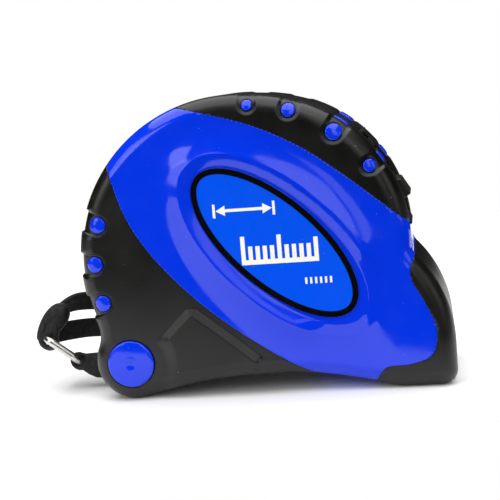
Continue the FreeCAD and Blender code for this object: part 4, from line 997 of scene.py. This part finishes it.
def sort_faces(vertices, faces, side):
    """Faces of each region: the blue field and the three grips."""
    middles = vertices[faces].mean(axis=1)
    kept = inside(middles, OUTLINE)
    for centre, radius in openings(side):
        kept &= lengths(middles - centre) > radius - 0.01
    regions = {}
    claimed = np.zeros(len(faces), bool)
    for name, polygon in ZONE_POLYGONS.items():
        mine = kept & inside(middles, polygon) & ~claimed
        regions[name] = faces[mine]
        claimed |= mine
    regions["field"] = faces[kept & ~claimed]
    return regions


def slopes(height, points, side):
    """Outward normals of the surface y = side * height(x, z)."""
    nudge = 0.02
    here = height(points, side)
    slope_x = (height(points + [nudge, 0.0], side) - height(points - [nudge, 0.0], side)) / (2 * nudge)
    slope_z = (height(points + [0.0, nudge], side) - height(points - [0.0, nudge], side)) / (2 * nudge)
    return here, unit(np.stack([-slope_x, np.full(len(points), float(side)), -slope_z], axis=1))


def track_along(points):
    """Place along the thumb lock's track, and level over it, of points in the XZ plane."""
    away = points - BROW_CENTRE
    along = away[:, 0] * math.cos(LOCK_ANGLE) - away[:, 1] * math.sin(LOCK_ANGLE)
    level = away[:, 0] * math.sin(LOCK_ANGLE) + away[:, 1] * math.cos(LOCK_ANGLE)
    return along, level


def wall_limit(middle):
    """How near to the parting plane the perimeter wall comes: it stops at the lock's track and the mouth."""
    along, level = track_along(middle[None])
    if along[0] > TRACK_START and level[0] > TRACK_LEVEL:
        return TRACK_HALF
    if middle[0] > NOTCH_X and middle[1] < MOUTH_TOP:
        return MOUTH_HALF if middle[1] > MOUTH_LOW else NOTCH_HALF
    return PARTING


WALL_ROWS = (0.25, 0.5, 0.75, 0.93, 1.0)
PARTING_GROOVE = 0.12


def make_region(name, vertices, faces, side, height, thick, material, nodes):
    """One moulding of one side: its face, its stretch of perimeter wall, and its thickness."""
    used = np.unique(faces)
    renumber = {old: new for new, old in enumerate(used)}
    flat = vertices[used]
    level, normals = slopes(height, flat, side)
    ring_gap = polyline_distance(flat, OUTLINE)
    points = [np.array([x, side * y, z]) for (x, z), y in zip(flat, level)]
    normals = list(normals)
    result = []
    for face in faces:
        ids = [renumber[i] for i in face]
        corners = flat[ids]
        turn = np.cross(corners[1] - corners[0], corners[2] - corners[0])
        if (turn > 0) == (side > 0):
            ids.reverse()
        result.append(ids)
    directed = {(a, b) for ids in result for a, b in zip(ids, following(ids))}
    rim = [(a, b, wall_limit((flat[a] + flat[b]) / 2.0)) for a, b in directed
           if (b, a) not in directed and ring_gap[a] < 0.01 and ring_gap[b] < 0.01]
    column = {}
    for start, end, limit in rim:
        step = flat[end] - flat[start]
        outwards = np.array([step[1], -step[0]]) * -side
        outwards /= max(np.linalg.norm(outwards), 1e-9)
        for corner in (start, end):
            column.setdefault((corner, limit), {"normal": np.zeros(2)})["normal"] += outwards
    for (corner, limit), entry in column.items():
        outwards = entry["normal"] / np.linalg.norm(entry["normal"])
        normals[corner] = np.array([outwards[0], 0.0, outwards[1]])
        top = abs(points[corner][1])
        rows = [corner]
        for share in WALL_ROWS:
            y = side * (top + (limit - top) * share)
            x, z = flat[corner] - outwards * (PARTING_GROOVE if share == 1.0 else 0.0)
            rows.append(len(points))
            points.append(np.array([x, y, z]))
            normals.append(np.array([outwards[0], 0.0, outwards[1]]))
        entry["rows"] = rows
    for start, end, limit in rim:
        first, second = column[(start, limit)]["rows"], column[(end, limit)]["rows"]
        for index in range(len(first) - 1):
            result.append([second[index], first[index], first[index + 1], second[index + 1]])
    piece = shaded(name, *thickened(np.array(points), np.array(normals), result, thick))
    return finish_piece(piece, material, "case", nodes)


SIDES = (("right", -1), ("left", 1))


def make_sides():
    for word, side in SIDES:
        vertices, faces = triangulate(side)
        regions = sort_faces(vertices, faces, side)
        make_region(f"shell_{word}", vertices, regions["field"], side, blue_height, SHELL_THICK, BLUE,
                    [f"case_{word}"])
        for zone in ZONES:
            make_region(f"rubber_{zone}_{word}", vertices, regions[zone], side, rubber_height, RUBBER_THICK,
                        RUBBER, [f"grip_{zone}_{word}"])


make_sides()


# ------------------------------------------------------------------ pips and pin caps

PIP_SINK = 0.3          # the pip's middle lies this far under the rubber's face, before its crown
PIP_CROWN = 0.25
PIP_EDGE = 0.25
PIP_DEEP = 1.6


def make_pips():
    """Blue pips that follow the rounded shoulder of the case, each slightly crowned."""
    rings, spokes = 9, 48
    for word, side in SIDES:
        vertices, faces = [], []
        for centre, _, pip in pip_axes():
            first = len(vertices)
            flat, share = [centre], [0.0]
            for ring in range(1, rings + 1):
                reach = math.sin(0.5 * math.pi * ring / rings)
                flat += list(circle(centre, reach * pip, spokes))
                share += [reach] * spokes
            flat, share = np.array(flat), np.array(share)
            top = face_base(flat) - PIP_SINK + PIP_CROWN * (1.0 - share ** 2)
            top -= rolled((1.0 - share) * pip, PIP_EDGE)
            vertices += [(x, side * y, z) for (x, z), y in zip(flat, top)]
            base = len(vertices)
            vertices += [(x, side * (y - PIP_DEEP), z) for (x, z), y in zip(flat[-spokes:], top[-spokes:])]
            for step in range(spokes):
                after = (step + 1) % spokes
                faces.append((first, first + 1 + step, first + 1 + after))
                for ring in range(rings - 1):
                    low = first + 1 + ring * spokes
                    faces.append((low + step, low + spokes + step, low + spokes + after, low + after))
                rim = base - spokes
                faces.append((rim + step, base + step, base + after, rim + after))
            faces.append(tuple(range(base, base + spokes)))
        pips = solid(f"pips_{word}", vertices, faces)
        finish_piece(pips, BLUE, "case")


PAD_NEAR = 7.4          # ends of a pad, from the parting plane
PAD_FAR = 12.8
PAD_RISE = 0.12         # over the brow's arc
PAD_CROWN = 0.25
PAD_DEEP = 1.6
PAD_WIDE = 1.1          # half width, as a share of the pip's radius


def make_slot_pads():
    """Blue plastic that shows on the perimeter in the two slots nearest the thumb lock."""
    for index, (_, outwards, pip) in enumerate(list(pip_axes())[-2:]):
        across = np.array([-outwards[1], outwards[0]])
        half = pip * PAD_WIDE
        top = BROW[2] + PAD_RISE
        section = [(top - PAD_CROWN * share ** 4, share * half) for share in np.linspace(-1.0, 1.0, 9)]
        section += [(top - PAD_DEEP, half), (top - PAD_DEEP, -half)]
        outline = [tuple(BROW_CENTRE + outwards * reach + across * shift) for reach, shift in section]
        for word, side in SIDES:
            pad = prism(f"slot_pad_{word}_{index}", outline, *sorted((side * PAD_FAR, side * PAD_NEAR)))
            bevelled(pad, 0.35, 4)
            finish_piece(pad, BLUE, "case")


def make_pin_caps():
    """Blue discs over the strap pin, crowned, with a shallow dish in the middle."""
    dish, dish_depth, rise, edge, root = 1.7, 0.2, 0.25, 0.4, 16.1
    for word, side in SIDES:
        profile = [(dish * share, CAP_CROWN - dish_depth * math.cos(0.5 * math.pi * share) ** 2)
                   for share in np.linspace(0.0, 0.92, 8)]
        for share in np.linspace(0.0, 1.0, 10):
            reach = dish + (CAP_RADIUS - edge - dish) * share
            profile.append((reach, CAP_CROWN - rise * (reach / CAP_RADIUS) ** 2))
        brim = profile[-1][1]
        for turn in np.linspace(0.2, 1.0, 6) * math.pi / 2.0:
            fall = edge * (1.0 - math.cos(turn))
            profile.append((CAP_RADIUS - edge + edge * math.sin(turn), brim - fall - 0.05))
        profile += [(CAP_RADIUS, root), (0.0, root)]
        cap = lathe(f"cap_{word}", profile, (LOBE[0], 0.0, LOBE[1]), (0.0, side, 0.0), 128)
        finish_piece(cap, BLUE, "case", [f"pin_cap_{word}"])


make_pips()
make_slot_pads()
make_pin_caps()


# ------------------------------------------------------------------ label

def make_label():
    plate = prism("label_plate", [tuple(p) for p in oval(LABEL, LABEL_LONG - 0.05, LABEL_SHORT - 0.05, 220)],
                  -LABEL_TOP, -RECESS_FLOOR - 0.02)
    bevelled(plate, 0.08, 2)
    finish_piece(plate, LABEL_BLUE, "case", ["label_right"])
    outer = oval(LABEL, LABEL_LONG - 0.1, LABEL_SHORT - 0.1, 240)
    inner = outer + left_of(outer, closed=True) * LABEL_RIM
    low, high = LABEL_TOP - 0.03, LABEL_TOP + 0.05
    corners = ((outer, low), (outer, high), (inner, high), (inner, low))
    vertices = [(x, -y, z) for line, y in corners for x, z in line]
    rim = solid("label_rim", vertices, skin(numbered(4, len(outer)), cyclic=True), False)
    finish_piece(rim, PRINT_BLACK, "case")


def bar(x, z, width, height):
    return [(x, z), (x + width, z), (x + width, z + height), (x, z + height)]


PRINT_RISE = 0.04
PRINT_SINK = 0.05


def make_scale_print():
    """Plain print in place of lettering: a scale with ticks, a span arrow and a row of short ticks."""
    left, base, long, thick = -4.2, 31.6, 18.0, 1.1
    pitch, tick, tall, short, rim_room = 1.7, 1.0, 5.6, 3.2, 6.6
    outlines = [bar(left, base, long, thick)]
    for index in range(11):
        height = tall if index % 5 == 0 else short
        outlines.append(bar(left + index * pitch, base + thick, tick, min(height, rim_room - 0.2 * index)))
    span_left, span_z, span, head, thin = -9.4, 44.6, 13.2, 2.2, 0.35
    half_head, stop, half_stop, stop_gap = 1.2, 0.6, 1.6, 0.1
    outlines.append(bar(span_left + head, span_z - thin, span - 2.0 * head, 2.0 * thin))
    for end, tip in ((span_left, head), (span_left + span, -head)):
        outlines.append([(end, span_z), (end + tip, span_z - half_head), (end + tip, span_z + half_head)])
        stop_x = end - (stop + stop_gap) if tip > 0 else end + stop_gap
        outlines.append(bar(stop_x, span_z - half_stop, stop, 2.0 * half_stop))
    row_left, row_z, row_pitch, row_tick, row_tall = 10.2, 26.4, 1.15, 0.5, 1.5
    outlines += [bar(row_left + index * row_pitch, row_z, row_tick, row_tall) for index in range(6)]
    parts = [prism(f"label_graduations_{index}", outline, -(LABEL_TOP + PRINT_RISE), -(LABEL_TOP - PRINT_SINK))
             for index, outline in enumerate(outlines)]
    finish_piece(joined("label_graduations", parts), PRINT_CREAM, "case")


make_label()
make_scale_print()


# ------------------------------------------------------------------ thumb lock

def on_track(along, level):
    return (BROW[0] + along * math.cos(LOCK_ANGLE) + level * math.sin(LOCK_ANGLE),
            BROW[1] - along * math.sin(LOCK_ANGLE) + level * math.cos(LOCK_ANGLE))


def make_lock():
    """Ridged thumb button with a ledge at its lower end, and the bed that it slides in."""
    start, long, low, top = -6.0, 16.3, 32.8, 35.1
    ledge, ledge_top = start + long - 4.2, 36.2
    section = [(start, low), (start + long, low), (start + long, ledge_top), (ledge, ledge_top),
               (ledge - 0.9, top)]
    for ridge in range(5):
        right = ledge - 1.9 - ridge * 1.75
        section += [(right, top), (right - 0.25, top - 0.55), (right - 0.75, top - 0.55), (right - 1.0, top)]
    section += [(start, top)]
    button = prism("thumb_button", [on_track(*p) for p in section], -6.0, 6.0)
    bevelled(button, 0.35, 4, 25.0)
    finish_piece(button, BLACK_NYLON, "lock", ["lock_button"])
    wall, bed_low, bed_end, bed_stop, wall_end, under_brow = 0.8, TRACK_LEVEL - 1.4, 16.2, 35.4, 15.6, 0.7
    bed = [on_track(*p) for p in ((TRACK_START - wall, bed_low), (bed_end, bed_low), (bed_end, TRACK_LEVEL),
                                  (TRACK_START, TRACK_LEVEL), (TRACK_START, bed_stop),
                                  (TRACK_START - wall, bed_stop))]
    rails = [bevelled(prism("track_bed", bed, -TRACK_HALF - wall, TRACK_HALF + wall), 0.15, 2)]
    for turn in (-1, 1):
        outline = [on_track(along, TRACK_LEVEL) for along in np.linspace(TRACK_START, wall_end, 24)]
        for along in np.linspace(wall_end, TRACK_START, 24):
            level = math.sqrt(max((BROW[2] - under_brow) ** 2 - along ** 2, 0.0))
            outline.append(on_track(along, max(level, TRACK_LEVEL + 0.05)))
        ends = sorted((turn * TRACK_HALF, turn * (TRACK_HALF + wall)))
        rails.append(prism(f"track_wall_{turn + 1}", outline, *ends))
    for index, rail in enumerate(rails):
        finish_piece(rail, BLACK_NYLON, "case")
        rail.name = f"lock_track_{index}"


make_lock()


# ------------------------------------------------------------------ mouth, blade and clip

def block(name, low, high, width, segments=3):
    """Rounded block between two corners."""
    outline = [(low[0], low[2]), (high[0], low[2]), (high[0], high[2]), (low[0], high[2])]
    return bevelled(prism(name, outline, low[1], high[1]), width, segments)


def make_mouth():
    """Blue frame of the mouth behind the hook: a lip under the blade, a lintel and two cheeks."""
    cheek = MOUTH_HALF + 1.2
    parts = [block("mouth_lip", (40.0, -MOUTH_HALF, 1.4), (NOTCH_X, MOUTH_HALF, 6.4), 0.4),
             block("mouth_lintel", (39.6, -MOUTH_HALF, MOUTH_TOP), (43.1, MOUTH_HALF, 14.6), 0.4),
             block("mouth_cheek_right", (39.4, -cheek, 1.6), (42.9, -MOUTH_HALF, 14.0), 0.35),
             block("mouth_cheek_left", (39.4, MOUTH_HALF, 1.6), (42.9, cheek, 14.0), 0.35)]
    for part in parts:
        finish_piece(part, BLUE, "case")


BLADE_TOP = 9.05
BLADE_THICK = 0.3
BLADE_TIP = 42.2
BLADE_SAG = 2.0
BLADE_HALF = 12.5
BLADE_ROOT = -2.0
BLADE_UNCURL = 12.0     # the curve across comes in over this length


def blade_level(y):
    return BLADE_TOP + BLADE_SAG * (y / BLADE_HALF) ** 2


def make_blade():
    """Yellow strip, curved across."""
    columns, rows = 24, 44
    vertices = []
    for row in range(rows + 1):
        x = BLADE_ROOT + (BLADE_TIP - BLADE_ROOT) * row / rows
        curl = min(1.0, max(0.0, (x - BLADE_ROOT) / BLADE_UNCURL))
        for level in (0.0, -BLADE_THICK):
            for column in range(columns + 1):
                y = -BLADE_HALF + 2.0 * BLADE_HALF * column / columns
                vertices.append((x, y, BLADE_TOP + (blade_level(y) - BLADE_TOP) * curl + level))
    width = columns + 1
    order = list(range(width)) + list(range(2 * width - 1, width - 1, -1))
    rings = [[row * 2 * width + i for i in order] for row in range(rows + 1)]
    blade = solid("blade_strip", vertices, skin(rings))
    finish_piece(blade, YELLOW, "blade", ["blade_end"])


def make_blade_marks():
    """Plain graduations along both edges of the blade: long, middle and short ticks, each a thin bent bar."""
    spots, half_tick, start, rise, sink = 7, 0.11, 12.35, 0.02, 0.05
    zero = BLADE_TIP - 8.4 + 1.0
    vertices, faces = [], []
    for step in range(1, 31):
        reach = 9.0 if step % 10 == 0 else (5.5 if step % 5 == 0 else 3.4)
        for turn in (-1, 1):
            first = len(vertices)
            for y in np.linspace(start, start - reach, spots) * turn:
                for x in (zero - step - half_tick, zero - step + half_tick):
                    vertices += [(x, y, blade_level(y) + rise), (x, y, blade_level(y) - sink)]
            faces += skin([[first + 4 * spot + corner for corner in (0, 2, 3, 1)] for spot in range(spots)])
    marks = solid("blade_graduations", vertices, faces, False)
    finish_piece(marks, PRINT_BLACK, "blade")


def make_clip():
    """Spring clip bent from sheet, with rounded corners at its toe and a stamped rib down its tongue."""
    seat, thick, reach, middle_x, half_wide = 18.65, 1.1, 6.4, 2.0, 10.0
    seat_low, bend_z, toe_z, toe_radius, screw_z = 43.0, 57.0, 13.2, 4.0, 49.0
    rib_low, rib_top, rib_fade, rib_rise, rib_wide = 18.0, 44.0, 4.0, 0.45, 2.0
    middle = seat + (reach + thick) / 2.0
    radius = reach / 2.0 + thick / 2.0
    line = [(seat + thick / 2.0, z) for z in np.linspace(seat_low, bend_z, 20)]
    line += [(middle - radius * math.cos(turn), bend_z + radius * math.sin(turn))
             for turn in np.linspace(0.0, math.pi, 22)[1:-1]]
    tongue_from = len(line)
    for z in np.linspace(bend_z, toe_z, 70):
        lean = 1.2 * min(1.0, (bend_z - z) / 41.0)
        flick = 1.2 * max(0.0, (16.0 - z) / 3.0)
        line.append((middle + radius - lean + flick, z))
    normal = left_of(np.array(line))
    section = both_faces(28)
    vertices = []
    for index, (y, z) in enumerate(line):
        on_tongue = index > tongue_from
        half, ends = half_wide, 0.0
        if on_tongue and z - toe_z < toe_radius:
            left = max(0.0, z - toe_z)
            half -= toe_radius - math.sqrt(max(0.0, toe_radius ** 2 - max(0.0, toe_radius - left) ** 2))
        if on_tongue and rib_low < z < rib_top:
            ends = float(smooth_step(np.array([(z - rib_low) / rib_fade, (rib_top - z) / rib_fade])).min())
        for face, u in section:
            x = middle_x + u * half
            rib = rib_rise * ends * math.exp(-((x - middle_x) / rib_wide) ** 2)
            offset = normal[index] * (face * thick / 2.0) - np.array([rib, 0.0])
            vertices.append((x, y + offset[0], z + offset[1]))
    clip = solid("spring_clip", vertices, skin(numbered(len(line), len(section))))
    drilled(clip, [((middle_x, seat + reach, screw_z), 3.8, 4.0), ((middle_x, seat, screw_z), 1.7, 2.0)])
    bevelled(clip, 0.15, 2, 50.0)
    finish_piece(clip, CLIP_STEEL, "case", ["belt_clip"])


make_mouth()
make_blade()
make_blade_marks()
make_clip()


# ------------------------------------------------------------------ CAD pieces that show as they are

CAD_MATERIALS = {
    "axle_post": STEEL, "drum": WHITE_NYLON, "drum_cap": WHITE_NYLON, "blade_coil": YELLOW,
    "power_spring": SPRING_STEEL, "end_hook": STEEL, "hook_rivets": STEEL, "mouth_guide": WHITE_NYLON,
    "hook_bumper": RUBBER, "lock_wedge": BLACK_NYLON, "case_screws": STEEL, "clip_screw": STEEL,
    "strap_pin": STEEL, "strap_link": STEEL,
}

for node_name, node_material in CAD_MATERIALS.items():
    for material_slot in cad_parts[node_name].material_slots:
        material_slot.material = node_material


# ------------------------------------------------------------------ floor and light

FLOOR_FRONT = -0.078
FLOOR_SLANT = 0.65      # how much nearer the front edge comes per metre to the right
FLOOR_BACK = 0.3
FLOOR_SIDE = 0.45


def make_floor():
    slant = FLOOR_SLANT * FLOOR_SIDE
    corners = [(-FLOOR_SIDE, FLOOR_FRONT - slant), (FLOOR_SIDE, FLOOR_FRONT + slant), (FLOOR_SIDE, FLOOR_BACK),
               (-FLOOR_SIDE, FLOOR_BACK)]
    floor = new_object("floor", [(x / MM, y / MM, 0.0) for x, y in corners], [(0, 1, 2, 3)], False)
    surface = Recipe("floor_paper", (0.9, 0.9, 0.9), 0.8)
    surface.rough(surface.noise(20.0), 0.75, 0.9)
    floor.data.materials.append(surface.material)


def soft_light(name, place, target, width, height, radiance):
    """Rectangular light with a given brightness of its surface."""
    data = bpy.data.lights.new(name, "AREA")
    data.shape = "RECTANGLE"
    data.size = width
    data.size_y = height
    data.energy = radiance * math.pi * width * height
    light = bpy.data.objects.new(name, data)
    bpy.context.scene.collection.objects.link(light)
    light.location = place
    light.rotation_euler = (Vector(target) - Vector(place)).to_track_quat("-Z", "Y").to_euler()


def make_lights():
    middle = (0.0, 0.0, 0.03)
    soft_light("top_light", (-0.02, -0.02, 0.55), (0.0, -0.02, 0.0), 0.9, 0.84, 2.4)
    soft_light("left_light", (-0.50, -0.36, 0.25), middle, 0.22, 0.36, 2.1)
    soft_light("right_light", (0.58, -0.24, 0.24), middle, 0.3, 0.4, 1.0)
    soft_light("key_light", (-0.33, -0.45, 0.25), middle, 0.18, 0.18, 3.0)
    soft_light("front_light", (0.22, -0.54, 0.14), middle, 0.34, 0.08, 1.2)
    soft_light("high_light", (0.24, -0.47, 0.32), middle, 0.26, 0.26, 1.7)
    # The world is mid grey as light, nearly black in reflections and white behind the object.
    world = bpy.data.worlds.new("studio")
    world.use_nodes = True
    tree = world.node_tree
    tree.nodes["Background"].inputs["Color"].default_value = (0.5, 0.5, 0.5, 1.0)
    path = tree.nodes.new("ShaderNodeLightPath")
    result = tree.nodes["Background"].outputs[0]
    for ray, brightness in (("Is Glossy Ray", 0.02), ("Is Camera Ray", 1.0)):
        seen = tree.nodes.new("ShaderNodeBackground")
        seen.inputs["Color"].default_value = (brightness, brightness, brightness, 1.0)
        mix = tree.nodes.new("ShaderNodeMixShader")
        tree.links.new(path.outputs[ray], mix.inputs["Fac"])
        tree.links.new(result, mix.inputs[1])
        tree.links.new(seen.outputs[0], mix.inputs[2])
        result = mix.outputs[0]
    tree.links.new(result, tree.nodes["World Output"].inputs["Surface"])
    bpy.context.scene.world = world
    bpy.context.scene.view_settings.view_transform = "Standard"


make_floor()
make_lights()
